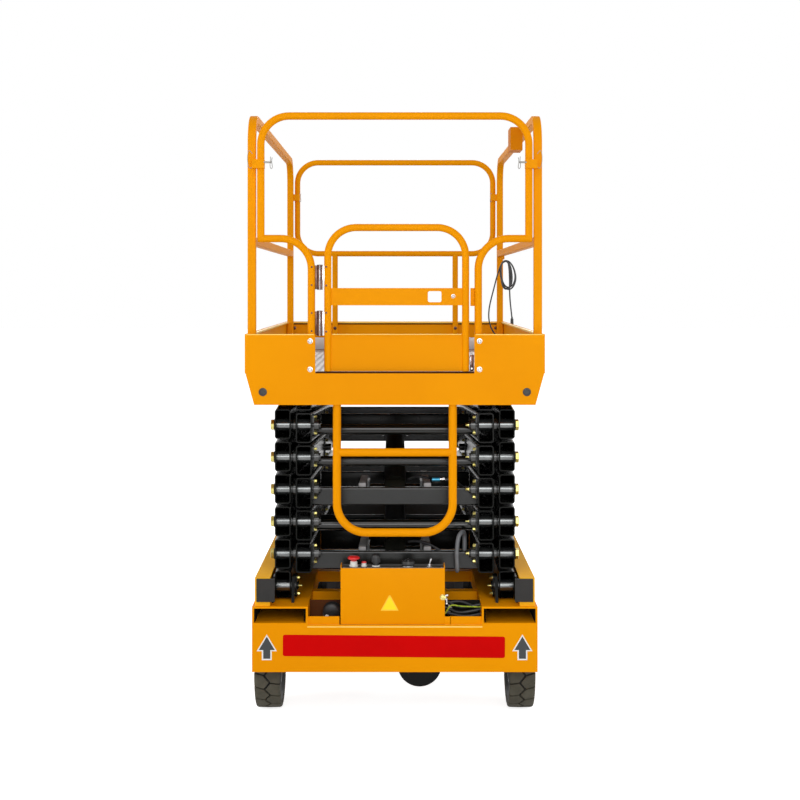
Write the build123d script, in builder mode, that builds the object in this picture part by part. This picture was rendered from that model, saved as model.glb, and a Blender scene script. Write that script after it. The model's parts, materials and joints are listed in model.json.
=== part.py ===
import os
from math import asin, cos, radians, sin, tan

from build123d import *

os.makedirs("parts", exist_ok=True)

# Mobile scissor lift, lowered. Millimetres, +Z up, origin on the ground at the centre.
# -Y is the entry end with the gate and ladder, +Y the steering end, X runs across.

# ---------------------------------------------------------------- driving sizes
machine_length = 2400.0
platform_width = 1270.0

tyre_r = 200.0
tyre_width = 114.0
rim_r = 102.0
rim_half = 46.0
axle_inset = 360.0
spindle_r = 25.0

beam_inset = 28.0
beam_width = 237.0
beam_height = 78.0
beam_wall = 8.0
beam_bottom_z = 444.0
end_plate_height = 200.0
end_plate_t = 10.0

track_inset = 11.0
track_width = 64.0
track_wall = 8.0
roller_r = 32.0
roller_width = 42.0
roller_gap = 22.0

level_count = 6
level_rise = 140.0
near_pin_inset = 160.0
far_pin_inset = 140.0
arm_depth = 128.0
arm_width = 68.0
arm_wall = 5.0
arm_end = 62.0
arm_short_end = 52.0
arm_side_gap = 14.0
arm_spacing = 23.0
pin_offset = 12.0
pin_r = 17.45
pin_play = 0.05
bush_r = 25.0
bottom_pin_height = 58.0

barrel_r = 50.0
rod_r = 30.0
cylinder_inset = 200.0
cylinder_eye_drop = 95.0

deck_clearance = 93.0
deck_t = 6.0
fascia_height = 134.0
fascia_slope = 37.0
toe_board_height = 167.0
toe_board_t = 4.0
guard_height = 1113.0
tube_r = 16.0
side_tube = 35.0
side_rail_inset = 23.0
bend_r = 121.0

# ---------------------------------------------------------------- places worked out from them
half_length = machine_length / 2
deck_half_x = platform_width / 2
near_axle_y = -half_length + axle_inset
far_axle_y = half_length - axle_inset
axle_z = tyre_r
beam_outer_x = deck_half_x - beam_inset
beam_x = beam_outer_x - beam_width / 2
beam_inner_x = beam_outer_x - beam_width
beam_top_z = beam_bottom_z + beam_height
wheel_stand_out = 8.0
wheel_x = beam_outer_x - tyre_width / 2 + wheel_stand_out

track_outer_x = beam_outer_x - track_inset
track_inner_x = track_outer_x - track_width
outer_arm_x = track_inner_x - arm_side_gap - arm_width / 2
inner_arm_x = outer_arm_x - arm_width - arm_spacing

near_pin_y = -half_length + near_pin_inset
bottom_pin_z = beam_top_z + bottom_pin_height
arm_pin_span = machine_length - near_pin_inset - far_pin_inset
arm_angle = asin(level_rise / arm_pin_span)
tube_tilt = arm_angle - asin(2 * pin_offset / arm_pin_span)
pin_along = arm_pin_span / 2 * cos(arm_angle - tube_tilt)
mid_y = near_pin_y + arm_pin_span / 2 * cos(arm_angle)
far_pin_y = near_pin_y + arm_pin_span * cos(arm_angle)
top_pin_z = bottom_pin_z + level_count * level_rise
outer_arm_face_x = outer_arm_x + arm_width / 2
outer_arm_inner_x = outer_arm_x - arm_width / 2
inner_arm_face_x = inner_arm_x + arm_width / 2
inner_arm_inner_x = inner_arm_x - arm_width / 2
cylinder_base_along = -arm_pin_span / 2 + cylinder_inset
cylinder_eye_along = arm_pin_span / 2 - cylinder_inset

deck_z = top_pin_z + deck_clearance
fascia_foot_half_x = deck_half_x - fascia_slope
fascia_foot_z = deck_z - fascia_height
side_rail_x = deck_half_x - side_rail_inset


def keep(piece, label):
    piece.part.label = label
    export_step(piece.part, f"parts/{label}.step")


def level_mid_z(level):
    return bottom_pin_z + (level - 0.5) * level_rise


def arm_side_plane(level, slope):
    # looks along +X: local x runs up the tube to the steering end, local y is its upper side
    tilt = slope * tube_tilt
    return Plane(
        origin=(0, mid_y, level_mid_z(level)),
        x_dir=(0, cos(tilt), sin(tilt)),
        z_dir=(1, 0, 0),
    )


def side_slab(plane, low_x, high_x, mode=Mode.ADD):
    # turns the sketch just drawn on plane.offset(low_x) into a plate from low_x to high_x
    return extrude(amount=high_x - low_x, mode=mode)


# ---------------------------------------------------------------- chassis
# lashing eyes hang under the beams, just inside the end plates
lashing_inset = 46.0
lashing_x = 426.0
lashing_t = 12.0
lashing_width = 64.0
lashing_drop = 84.0
lashing_hole_r = 20.0
with BuildPart() as side_beams:
    with BuildSketch(Plane.XZ):
        with Locations((beam_x, beam_bottom_z + beam_height / 2), (-beam_x, beam_bottom_z + beam_height / 2)):
            Rectangle(beam_width, beam_height)
            Rectangle(beam_width - 2 * beam_wall, beam_height - 2 * beam_wall, mode=Mode.SUBTRACT)
    extrude(amount=half_length, both=True)
    for eye_y in (-half_length + lashing_inset, half_length - lashing_inset):
        for side in (-1, 1):
            with BuildSketch(Plane.YZ.offset(side * lashing_x - lashing_t / 2)):
                with Locations((eye_y, beam_bottom_z - lashing_drop / 2)):
                    Rectangle(lashing_width, lashing_drop)
                with Locations((eye_y, beam_bottom_z - lashing_drop / 2)):
                    Circle(lashing_hole_r, mode=Mode.SUBTRACT)
            extrude(amount=lashing_t)
keep(side_beams, "side_beams")

lip_height = 34.0
lip_t = 8.0
lip_inner_x = 236.0
lip_overlap = 20.0
plate_top_bend = 8.0
with BuildPart() as end_plates:
    with BuildSketch(Plane.YZ.offset(-beam_outer_x)) as plate_section:
        with Locations((-half_length + end_plate_t / 2, beam_bottom_z - end_plate_height / 2)):
            Rectangle(end_plate_t, end_plate_height)
        fillet(plate_section.vertices().group_by(Axis.Z)[-1].sort_by(Axis.Y)[0], radius=plate_top_bend)
    extrude(amount=2 * beam_outer_x)
    mirror(about=Plane.XZ)
    lip_x = (beam_inner_x + lip_inner_x) / 2
    lip_mid_z = beam_bottom_z + (lip_height - lip_overlap) / 2
    with BuildSketch(Plane.XZ.offset(half_length - end_plate_t)):
        with Locations((lip_x, lip_mid_z), (-lip_x, lip_mid_z)):
            Rectangle(beam_inner_x - lip_inner_x, lip_height + lip_overlap)
    extrude(amount=-lip_t)
keep(end_plates, "end_plates")

cross_height = 50.0
cross_depth = 60.0
cross_z = 461.0
cross_ys = (-half_length + 400, -half_length + 870, half_length - 950, half_length - 400)
with BuildPart() as cross_members:
    for cross_y in cross_ys:
        with BuildSketch(Plane.YZ.offset(-beam_inner_x)):
            with Locations((cross_y, cross_z + cross_height / 2)):
                Rectangle(cross_depth, cross_height)
                Rectangle(cross_depth - 10, cross_height - 10, mode=Mode.SUBTRACT)
        extrude(amount=2 * beam_inner_x)
keep(cross_members, "chassis_cross_members")

track_bottom_z = bottom_pin_z - roller_r - 1
track_top_z = bottom_pin_z + roller_r + roller_gap
track_half_length = half_length - 12
with BuildPart() as roller_tracks:
    with BuildSketch(Plane.XZ):
        with BuildLine():
            Polyline(
                (track_inner_x, beam_top_z),
                (track_outer_x, beam_top_z),
                (track_outer_x, track_top_z + track_wall),
                (track_inner_x, track_top_z + track_wall),
                (track_inner_x, track_top_z),
                (track_outer_x - track_wall, track_top_z),
                (track_outer_x - track_wall, track_bottom_z),
                (track_inner_x, track_bottom_z),
                close=True,
            )
        make_face()
    extrude(amount=track_half_length, both=True)
    mirror(about=Plane.YZ)
keep(roller_tracks, "roller_tracks")

cap_inner_x = track_inner_x - 21
with BuildPart() as track_caps:
    with BuildSketch(Plane.XZ.offset(half_length)):
        with Locations(((cap_inner_x + track_outer_x - track_wall) / 2, (track_bottom_z + track_top_z) / 2)):
            Rectangle(track_outer_x - track_wall - cap_inner_x, track_top_z - track_bottom_z + 10)
    extrude(amount=track_half_length - half_length)
    mirror(about=Plane.XZ)
    mirror(about=Plane.YZ)
keep(track_caps, "track_caps")

# brackets that hold the lowest arms, with the pin and its lock bar
bracket_t = 12.0
bracket_outer_t = 8.0
bracket_gap = 5.0
bracket_rise = 46.0
bracket_half_foot = 85.0
lock_bar_t = 8.0
lock_bar_half = 50.0
lock_bar_width = 30.0
inner_bracket_x = outer_arm_inner_x - bracket_gap - bracket_t
outer_bracket_x = outer_arm_face_x + 3
with BuildPart() as pivot_brackets:
    for low_x, plate_t in ((inner_bracket_x, bracket_t), (outer_bracket_x, bracket_outer_t)):
        with BuildSketch(Plane.YZ.offset(low_x)):
            with BuildLine():
                Polyline(
                    (near_pin_y - bracket_half_foot, beam_top_z),
                    (near_pin_y + bracket_half_foot, beam_top_z),
                    (near_pin_y + 36, bottom_pin_z + bracket_rise),
                    (near_pin_y - 36, bottom_pin_z + bracket_rise),
                    close=True,
                )
            make_face()
        extrude(amount=plate_t)
    with BuildSketch(Plane.YZ.offset(inner_bracket_x - 14)):
        with Locations((near_pin_y, bottom_pin_z)):
            Circle(pin_r)
    extrude(amount=outer_bracket_x + bracket_outer_t - inner_bracket_x + 14)
    with BuildSketch(Plane.YZ.offset(inner_bracket_x - lock_bar_t)):
        with Locations((near_pin_y, bottom_pin_z)):
            RectangleRounded(lock_bar_width, 2 * lock_bar_half - 6, 8)
    extrude(amount=lock_bar_t)
    mirror(about=Plane.YZ)
keep(pivot_brackets, "pivot_brackets")

# lower control box in the middle of the entry end
box_left_x = -231.0
box_right_x = 213.0
box_top_z = beam_bottom_z + 239
box_depth = 96.0
box_side_rise = 21.0
box_front_y = -half_length + end_plate_t
box_wall = 3.0
box_mid_x = (box_left_x + box_right_x) / 2
box_width = box_right_x - box_left_x
with BuildPart() as control_box:
    with BuildSketch(Plane.XY.offset(beam_bottom_z - lip_overlap)):
        with Locations((box_mid_x, box_front_y + box_depth / 2)):
            Rectangle(box_width, box_depth)
    extrude(amount=box_top_z - beam_bottom_z + lip_overlap)
    for wall_x in (box_left_x, box_right_x - box_wall):
        with BuildSketch(Plane.YZ.offset(wall_x)):
            with Locations((box_front_y + box_depth / 2, box_top_z)):
                Rectangle(box_depth, 2 * box_side_rise)
        extrude(amount=box_wall)
keep(control_box, "control_box")

knob_y = box_front_y + 44
# x, stem radius, head radius, head height, overall height
knob_rows = (
    (-176.0, 17.0, 25.0, 16.0, 52.0),
    (-135.0, 9.0, 11.0, 14.0, 26.0),
    (-84.0, 12.0, 15.0, 22.0, 34.0),
    (57.0, 22.0, 29.0, 20.0, 36.0),
    (151.0, 7.0, 9.0, 20.0, 32.0),
)
with BuildPart() as control_knobs:
    for knob_x, stem_r, head_r, head_height, knob_height in knob_rows:
        with BuildSketch(Plane.XY.offset(box_top_z)):
            with Locations((knob_x, knob_y)):
                Circle(stem_r)
        extrude(amount=knob_height - head_height)
        with BuildSketch(Plane.XY.offset(box_top_z + knob_height - head_height)):
            with Locations((knob_x, knob_y)):
                Circle(head_r)
        extrude(amount=head_height)
keep(control_knobs, "control_knobs")

# batteries on a tray, the pan behind the entry end plate, the charger's case at the steering end
# and the hydraulic power unit, all hung between the side beams
tray_z = 256.0
tray_t = 8.0
battery_size = (260.0, 180.0, 190.0)
battery_gap = 50.0
pan_t = 6.0
pan_half_x = beam_inner_x - 4
pan_drop = 65.0
pan_far_y = cross_ys[0] + 240
charger_half_x = 330.0
charger_depth = 98.0
charger_height = 116.0
with BuildPart() as battery_pack:
    tray_low_y = cross_ys[1] - cross_depth / 2
    tray_high_y = cross_ys[2] + cross_depth / 2
    tray_half_x = beam_inner_x - 40
    tray_mid_y = (tray_low_y + tray_high_y) / 2
    battery_step_x = (battery_size[0] + 60) / 2
    battery_step_y = (battery_size[1] + battery_gap) / 2
    battery_xs = (-battery_step_x, battery_step_x)
    battery_ys = (tray_mid_y - battery_step_y, tray_mid_y + battery_step_y)
    with BuildSketch(Plane.XY.offset(tray_z)):
        with Locations((0, tray_mid_y)):
            Rectangle(2 * tray_half_x, tray_high_y - tray_low_y)
    extrude(amount=tray_t)
    with BuildSketch(Plane.XY.offset(tray_z)):
        with Locations(*[(x, y) for x in (-tray_half_x + 20, tray_half_x - 20) for y in cross_ys[1:3]]):
            Rectangle(40, 8)
    extrude(amount=cross_z - tray_z)
    with BuildSketch(Plane.XY.offset(tray_z)):
        with Locations(*[(x, y) for x in battery_xs for y in battery_ys]):
            Rectangle(battery_size[0], battery_size[1])
    extrude(amount=tray_t + battery_size[2])
    with BuildSketch(Plane.XY.offset(cross_z - pan_drop)):
        with Locations((0, (pan_far_y - half_length + end_plate_t) / 2)):
            Rectangle(2 * pan_half_x, pan_far_y + half_length - end_plate_t)
    extrude(amount=pan_t)
    with BuildSketch(Plane.XY.offset(cross_z - pan_drop)):
        with Locations((pan_half_x - pan_t / 2, cross_ys[0]), (pan_t / 2 - pan_half_x, cross_ys[0])):
            Rectangle(pan_t, cross_depth)
    extrude(amount=pan_drop)
    with BuildSketch(Plane.XY.offset(beam_bottom_z - lip_overlap)):
        with Locations((0, half_length - end_plate_t - charger_depth / 2)):
            Rectangle(2 * charger_half_x, charger_depth)
    extrude(amount=charger_height + lip_overlap)
keep(battery_pack, "battery_pack")

tank_size = (220.0, 360.0, 161.0)
tank_x = -190.0
pump_motor_r = 62.0
pump_motor_length = 210.0
hanger_strip_width = 100.0
hanger_strip_t = 12.0
with BuildPart() as power_unit:
    tank_mid_y = (cross_ys[2] + cross_ys[3]) / 2
    tank_side_x = tank_x + tank_size[0] / 2
    with BuildSketch(Plane.XY.offset(cross_z - tank_size[2])):
        with Locations((tank_x, tank_mid_y)):
            Rectangle(tank_size[0], tank_size[1])
    extrude(amount=tank_size[2])
    with BuildSketch(Plane.XY.offset(cross_z - hanger_strip_t)):
        with Locations((tank_x, tank_mid_y)):
            Rectangle(hanger_strip_width, cross_ys[3] - cross_ys[2] + cross_depth)
    extrude(amount=hanger_strip_t)
    with BuildSketch(Plane.YZ.offset(tank_side_x)):
        with Locations((tank_mid_y + 30, cross_z - tank_size[2] / 2)):
            Circle(pump_motor_r)
    extrude(amount=pump_motor_length)
keep(power_unit, "power_unit")

# ---------------------------------------------------------------- axles, wheels and steering
differential_r = 98.0
differential_x = 110.0
axle_tube_r = 42.0
axle_flange_gap = 23.5
axle_flange_x = wheel_x - rim_half - axle_flange_gap
with BuildPart() as drive_axle:
    with BuildSketch(Plane.YZ.offset(-axle_flange_x)):
        with Locations((near_axle_y, axle_z)):
            Circle(axle_tube_r)
    extrude(amount=2 * axle_flange_x)
    with BuildSketch(Plane.XZ.offset(-near_axle_y)):
        with Locations((differential_x, axle_z)):
            Circle(differential_r)
    extrude(amount=62, both=True)
    with BuildSketch(Plane.XZ.offset(-near_axle_y)):
        with Locations((differential_x, axle_z)):
            Circle(differential_r - 26)
    extrude(amount=84, both=True)
    with BuildSketch(Plane.XZ.offset(-near_axle_y)):
        with Locations((differential_x, axle_z)):
            Circle(64)
    extrude(amount=-280)
    with BuildSketch(Plane.YZ.offset(-axle_flange_x - 84)):
        with Locations((near_axle_y, axle_z)):
            Circle(spindle_r)
    extrude(amount=2 * axle_flange_x + 168)
    with BuildSketch(Plane.XY.offset(axle_z)):
        with Locations((beam_inner_x + 45, near_axle_y), (-beam_inner_x - 45, near_axle_y)):
            Rectangle(50, 90)
    extrude(amount=beam_bottom_z - axle_z)
keep(drive_axle, "drive_axle")

kingpin_x = wheel_x - 124.5
kingpin_r = 15.0
knuckle_r = 31.0
boss_half = 35.0
lug_gap = 5.0
lug_t = 22.0
steer_arm = 120.0
axle_post_t = 18.0
with BuildPart() as steer_axle:
    with BuildSketch(Plane.XY.offset(axle_z - boss_half)):
        with Locations((0, far_axle_y)):
            Rectangle(2 * (kingpin_x - 20), 62)
        with Locations((-kingpin_x, far_axle_y), (kingpin_x, far_axle_y)):
            Circle(knuckle_r)
        with Locations((-kingpin_x, far_axle_y), (kingpin_x, far_axle_y)):
            Circle(kingpin_r + pin_play, mode=Mode.SUBTRACT)
    extrude(amount=2 * boss_half)
    with BuildSketch(Plane.XY.offset(axle_z)):
        with Locations((-beam_inner_x - axle_post_t / 2, far_axle_y), (beam_inner_x + axle_post_t / 2, far_axle_y)):
            Rectangle(axle_post_t, 60)
    extrude(amount=beam_bottom_z - axle_z)
keep(steer_axle, "steer_axle")

tie_z = axle_z - boss_half - lug_gap - lug_t
tie_pin_r = 10.0
for side, label in ((-1, "knuckle_left"), (1, "knuckle_right")):
    with BuildPart() as knuckle:
        lug_low_z = axle_z - boss_half - lug_gap - lug_t
        lug_high_z = axle_z + boss_half + lug_gap
        for lug_z in (lug_low_z, lug_high_z):
            with BuildSketch(Plane.XY.offset(lug_z)):
                with Locations((side * kingpin_x, far_axle_y)):
                    Circle(knuckle_r)
                with Locations((side * (kingpin_x + 27), far_axle_y)):
                    Rectangle(54, 56)
            extrude(amount=lug_t)
        with BuildSketch(Plane.XY.offset(lug_low_z)):
            with Locations((side * (kingpin_x + 46), far_axle_y)):
                Rectangle(20, 56)
        extrude(amount=lug_high_z + lug_t - lug_low_z)
        with BuildSketch(Plane.XY.offset(lug_low_z)):
            with Locations((side * kingpin_x, far_axle_y)):
                Circle(kingpin_r)
        extrude(amount=lug_high_z + lug_t - lug_low_z)
        with BuildSketch(Plane.YZ.offset(side * (kingpin_x + 50))):
            with Locations((far_axle_y, axle_z)):
                Circle(spindle_r)
        extrude(amount=side * 92)
        with BuildSketch(Plane.XY.offset(lug_low_z)):
            with Locations((side * kingpin_x, far_axle_y - steer_arm / 2)):
                Rectangle(26, steer_arm + 26)
        extrude(amount=lug_t)
        with BuildSketch(Plane.XY.offset(lug_low_z + lug_t)):
            with Locations((side * kingpin_x, far_axle_y - steer_arm)):
                Circle(tie_pin_r)
        extrude(amount=30)
    keep(knuckle, label)

tie_rod_z = tie_z + lug_t + 16
with BuildPart() as tie_rod:
    with BuildSketch(Plane.XY.offset(tie_rod_z - 9)):
        with Locations((-kingpin_x, far_axle_y - steer_arm), (kingpin_x, far_axle_y - steer_arm)):
            Circle(22)
        with Locations((-kingpin_x, far_axle_y - steer_arm), (kingpin_x, far_axle_y - steer_arm)):
            Circle(tie_pin_r + pin_play, mode=Mode.SUBTRACT)
    extrude(amount=18)
    with BuildSketch(Plane.YZ.offset(-kingpin_x + 16)):
        with Locations((far_axle_y - steer_arm, tie_rod_z)):
            Circle(8.5)
    extrude(amount=2 * kingpin_x - 32)
keep(tie_rod, "tie_rod")

# wheel name, side, axle y
wheel_rows = (
    ("drive_left", -1, near_axle_y),
    ("drive_right", 1, near_axle_y),
    ("steer_left", -1, far_axle_y),
    ("steer_right", 1, far_axle_y),
)
tyre_half = tyre_width / 2
tyre_shoulder = 14.0
hub_r = 48.0
for wheel, side, axle_y in wheel_rows:
    wheel_plane = Plane(origin=(side * wheel_x, axle_y, axle_z), x_dir=(side, 0, 0), z_dir=(0, -side, 0))
    with BuildPart() as tyre:
        with BuildSketch(wheel_plane) as tyre_half_face:
            with BuildLine():
                Polyline(
                    (-rim_half, rim_r),
                    (rim_half, rim_r),
                    (tyre_half, rim_r + 34),
                    (tyre_half, tyre_r - tyre_shoulder),
                    (tyre_half - 9, tyre_r),
                    (-tyre_half + 9, tyre_r),
                    (-tyre_half, tyre_r - tyre_shoulder),
                    (-tyre_half, rim_r + 34),
                    close=True,
                )
            make_face()
        revolve(axis=Axis((0, axle_y, axle_z), (1, 0, 0)))
    keep(tyre, f"{wheel}_tyre")
    with BuildPart() as rim:
        with BuildSketch(wheel_plane):
            with BuildLine():
                Polyline(
                    (-rim_half, rim_r),
                    (-rim_half, rim_r - 14),
                    (4, rim_r - 22),
                    (4, hub_r),
                    (-rim_half + 2, hub_r),
                    (-rim_half + 2, spindle_r + pin_play),
                    (34, spindle_r + pin_play),
                    (34, hub_r),
                    (16, hub_r),
                    (16, rim_r - 22),
                    (rim_half, rim_r - 14),
                    (rim_half, rim_r),
                    close=True,
                )
            make_face()
        revolve(axis=Axis((0, axle_y, axle_z), (1, 0, 0)))
    keep(rim, f"{wheel}_rim")

# ---------------------------------------------------------------- scissor arms
arm_corner = 12.0
deck_roller_low_x = track_inner_x - 2


def arm_pair(level, slope, arm_x, low_end_short, high_end_short, carries_rollers=False):
    # two open rectangular tubes with a bush at each pin; slope 1 rises to the steering end
    side_plane = arm_side_plane(level, slope)
    far_low = slope < 0
    far_reach = arm_short_end if (low_end_short if far_low else high_end_short) else arm_end
    near_reach = arm_short_end if (high_end_short if far_low else low_end_short) else arm_end
    tube_plane = Plane(origin=side_plane.origin, x_dir=(1, 0, 0), z_dir=side_plane.x_dir)
    start = -pin_along - near_reach
    length = 2 * pin_along + near_reach + far_reach
    with BuildPart() as arms:
        with BuildSketch(tube_plane.offset(start)):
            with Locations((arm_x, 0), (-arm_x, 0)):
                RectangleRounded(arm_width, arm_depth, arm_corner)
                RectangleRounded(
                    arm_width - 2 * arm_wall,
                    arm_depth - 2 * arm_wall,
                    arm_corner - arm_wall,
                    mode=Mode.SUBTRACT,
                )
        extrude(amount=length)
        for side_x in (-arm_x, arm_x):
            with BuildSketch(side_plane.offset(side_x)):
                with Locations((-pin_along, -slope * pin_offset), (0, 0), (pin_along, slope * pin_offset)):
                    Circle(bush_r)
            extrude(amount=arm_width / 2 - 0.5, both=True)
            with BuildSketch(side_plane.offset(side_x)):
                with Locations((-pin_along, -slope * pin_offset), (0, 0), (pin_along, slope * pin_offset)):
                    Circle(pin_r + pin_play)
            extrude(amount=arm_width, both=True, mode=Mode.SUBTRACT)
        for end, short in ((-1, near_reach < arm_end), (1, far_reach < arm_end)):
            if short:
                # the corner beside the pin is rounded about it, to swing clear of the frame
                edge = end * slope
                with BuildSketch(side_plane):
                    with Locations((end * pin_along, edge * pin_offset)):
                        with Locations((end * 40, edge * 40)):
                            Rectangle(80, 80)
                        Circle(arm_short_end, mode=Mode.SUBTRACT)
                extrude(amount=arm_x + arm_width, both=True, mode=Mode.SUBTRACT)
        if carries_rollers:
            # the top arms carry the rollers that run under the deck
            for side in (-1, 1):
                with BuildSketch(Plane.YZ.offset(side * (outer_arm_inner_x - 6))):
                    with Locations((far_pin_y, top_pin_z)):
                        Circle(pin_r + pin_play + 1)
                extrude(amount=side * (deck_roller_low_x + 44 - outer_arm_inner_x + 6))
                with BuildSketch(Plane.YZ.offset(side * deck_roller_low_x)):
                    with Locations((far_pin_y, top_pin_z)):
                        Circle(roller_r)
                extrude(amount=side * 42)
    return arms


for level in range(1, level_count + 1):
    lowest = level == 1
    highest = level == level_count
    outer_arms = arm_pair(level, 1, outer_arm_x, lowest, highest, carries_rollers=highest)
    keep(outer_arms, f"outer_arms_{level}")

for level in range(1, level_count + 1):
    inner_arms = arm_pair(level, -1, inner_arm_x, level == 1, level == level_count)
    keep(inner_arms, f"inner_arms_{level}")

# ties across each inner frame, with its pins: round or square bar near each end
tie_along = pin_along - 64.9
round_tie_r = 23.0
round_tie_drop = 10.0
square_tie_height = 78.0
square_tie_depth = 60.0
square_tie_drop = 22.0
eye_beam_along = cylinder_eye_along - 95
eye_beam_height = 90.0
pin_head_r = 18.0
pin_head_t = 19.0
cap_head_t = 8.0
collar_r = 22.0
collar_play = 1.0
pin_inner_x = inner_arm_inner_x - 36
rail_low_x = 127.0
rail_high_x = 160.0
ear_low_x = 112.0
ear_high_x = 122.0
eye_half_x = 45.0
eye_r = 44.0
base_pin_r = 20.0
rod_eye_r = 38.0
hanger_low_x = 50.0
hanger_high_x = 62.0
wall_tie_depth = 50.0
tie_wall = 6.0
# level: round ties at, lower and upper side of the box tie at the far end, cylinder base here, cylinder eye here
tie_rows = (
    (1, (), (-33.0, 58.0), True, False),
    (2, (-tie_along,), (-33.0, 60.0), False, False),
    (3, (), None, True, True),
    (4, (-tie_along,), (-17.0, 58.0), False, False),
    (5, (-tie_along,), None, False, True),
    (6, (-tie_along, tie_along), None, False, False),
)
for level, round_ties, wall_tie, holds_base, holds_eye in tie_rows:
    side_plane = arm_side_plane(level, -1)
    with BuildPart() as ties:
        for along in round_ties:
            with BuildSketch(side_plane.offset(-inner_arm_inner_x)):
                with Locations((along, -round_tie_drop)):
                    Circle(round_tie_r)
            extrude(amount=2 * inner_arm_inner_x)
        if wall_tie:
            with BuildSketch(side_plane.offset(-inner_arm_inner_x)):
                with Locations((tie_along, sum(wall_tie) / 2)):
                    RectangleRounded(wall_tie_depth, wall_tie[1] - wall_tie[0], 8)
                    Rectangle(
                        wall_tie_depth - 2 * tie_wall, wall_tie[1] - wall_tie[0] - 2 * tie_wall, mode=Mode.SUBTRACT
                    )
            extrude(amount=2 * inner_arm_inner_x)
        if holds_base:
            with BuildSketch(side_plane.offset(-inner_arm_inner_x)):
                with Locations((-tie_along, -square_tie_drop)):
                    RectangleRounded(square_tie_depth, square_tie_height, 8)
            extrude(amount=2 * inner_arm_inner_x)
            rail_far = cylinder_base_along + 70
            rail_near = -tie_along + square_tie_depth / 2 - 2
            for low_x, high_x, half in (
                (rail_low_x, rail_high_x, 30.0),
                (-rail_high_x, -rail_low_x, 30.0),
                (ear_low_x, ear_high_x, 40.0),
                (-ear_high_x, -ear_low_x, 40.0),
            ):
                with BuildSketch(side_plane.offset(low_x)):
                    with Locations(((rail_near + rail_far) / 2, -square_tie_drop if half < 40 else 0.0)):
                        Rectangle(rail_far - rail_near, 2 * half)
                extrude(amount=high_x - low_x)
            with BuildSketch(side_plane.offset(-rail_low_x - 4)):
                with Locations((cylinder_base_along, 0)):
                    Circle(base_pin_r)
            extrude(amount=2 * rail_low_x + 8)
        if holds_eye:
            with BuildSketch(side_plane.offset(-inner_arm_inner_x)):
                with Locations((eye_beam_along, 0)):
                    RectangleRounded(square_tie_depth, eye_beam_height, 8)
            extrude(amount=2 * inner_arm_inner_x)
            for low_x in (hanger_low_x, -hanger_high_x):
                with BuildSketch(side_plane.offset(low_x)):
                    with BuildLine():
                        Polyline(
                            (eye_beam_along - 20, eye_beam_height / 2 - 8),
                            (eye_beam_along + 28, eye_beam_height / 2 - 8),
                            (cylinder_eye_along + 36, -cylinder_eye_drop + 14),
                            (cylinder_eye_along + 36, -cylinder_eye_drop - 20),
                            (cylinder_eye_along + 16, -cylinder_eye_drop - 38),
                            (cylinder_eye_along - 20, -cylinder_eye_drop - 38),
                            (eye_beam_along - 20, -eye_beam_height / 2 - 4),
                            close=True,
                        )
                    make_face()
                extrude(amount=hanger_high_x - hanger_low_x)
            with BuildSketch(side_plane.offset(hanger_high_x)):
                with Locations((cylinder_eye_along, -cylinder_eye_drop)):
                    Circle(base_pin_r + 6)
            extrude(amount=12)
            with BuildSketch(side_plane.offset(-hanger_high_x)):
                with Locations((cylinder_eye_along, -cylinder_eye_drop)):
                    Circle(base_pin_r + 6)
            extrude(amount=-12)
        # pins: place along the arm, offset, reach outwards, head on its outer end
        pin_rows = [(0.0, 0.0, cap_head_t)]
        if level > 1:
            pin_rows.append((pin_along, -pin_offset, pin_head_t))
        if level < level_count:
            pin_rows.append((-pin_along, pin_offset, pin_head_t))
        for side in (-1, 1):
            for along, lift, head_t in pin_rows:
                with BuildSketch(side_plane.offset(side * pin_inner_x)):
                    with Locations((along, lift)):
                        Circle(pin_r)
                extrude(amount=side * (outer_arm_face_x + collar_play + head_t - pin_inner_x))
                with BuildSketch(side_plane.offset(side * (outer_arm_face_x + collar_play))):
                    with Locations((along, lift)):
                        Circle(pin_head_r)
                extrude(amount=side * head_t)
                with BuildSketch(side_plane.offset(side * inner_arm_face_x)):
                    with Locations((along, lift)):
                        Circle(collar_r)
                extrude(amount=side * (outer_arm_inner_x - collar_play - inner_arm_face_x))
                with BuildSketch(side_plane.offset(side * inner_arm_inner_x)):
                    with Locations((along, lift)):
                        RectangleRounded(lock_bar_width, 2 * lock_bar_half - 6, 8)
                extrude(amount=-side * lock_bar_t)
        if level == 1:
            # the lowest arms run in the chassis tracks on rollers
            for side in (-1, 1):
                with BuildSketch(Plane.YZ.offset(side * pin_inner_x)):
                    with Locations((far_pin_y, bottom_pin_z)):
                        Circle(pin_r)
                extrude(amount=side * (track_inner_x + 46 - pin_inner_x))
                with BuildSketch(Plane.YZ.offset(side * (track_inner_x + 4))):
                    with Locations((far_pin_y, bottom_pin_z)):
                        Circle(roller_r)
                extrude(amount=side * 42)
                with BuildSketch(Plane.YZ.offset(side * inner_arm_face_x)):
                    with Locations((far_pin_y, bottom_pin_z)):
                        Circle(collar_r)
                extrude(amount=side * 14)
    keep(ties, f"inner_ties_{level}")

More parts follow.
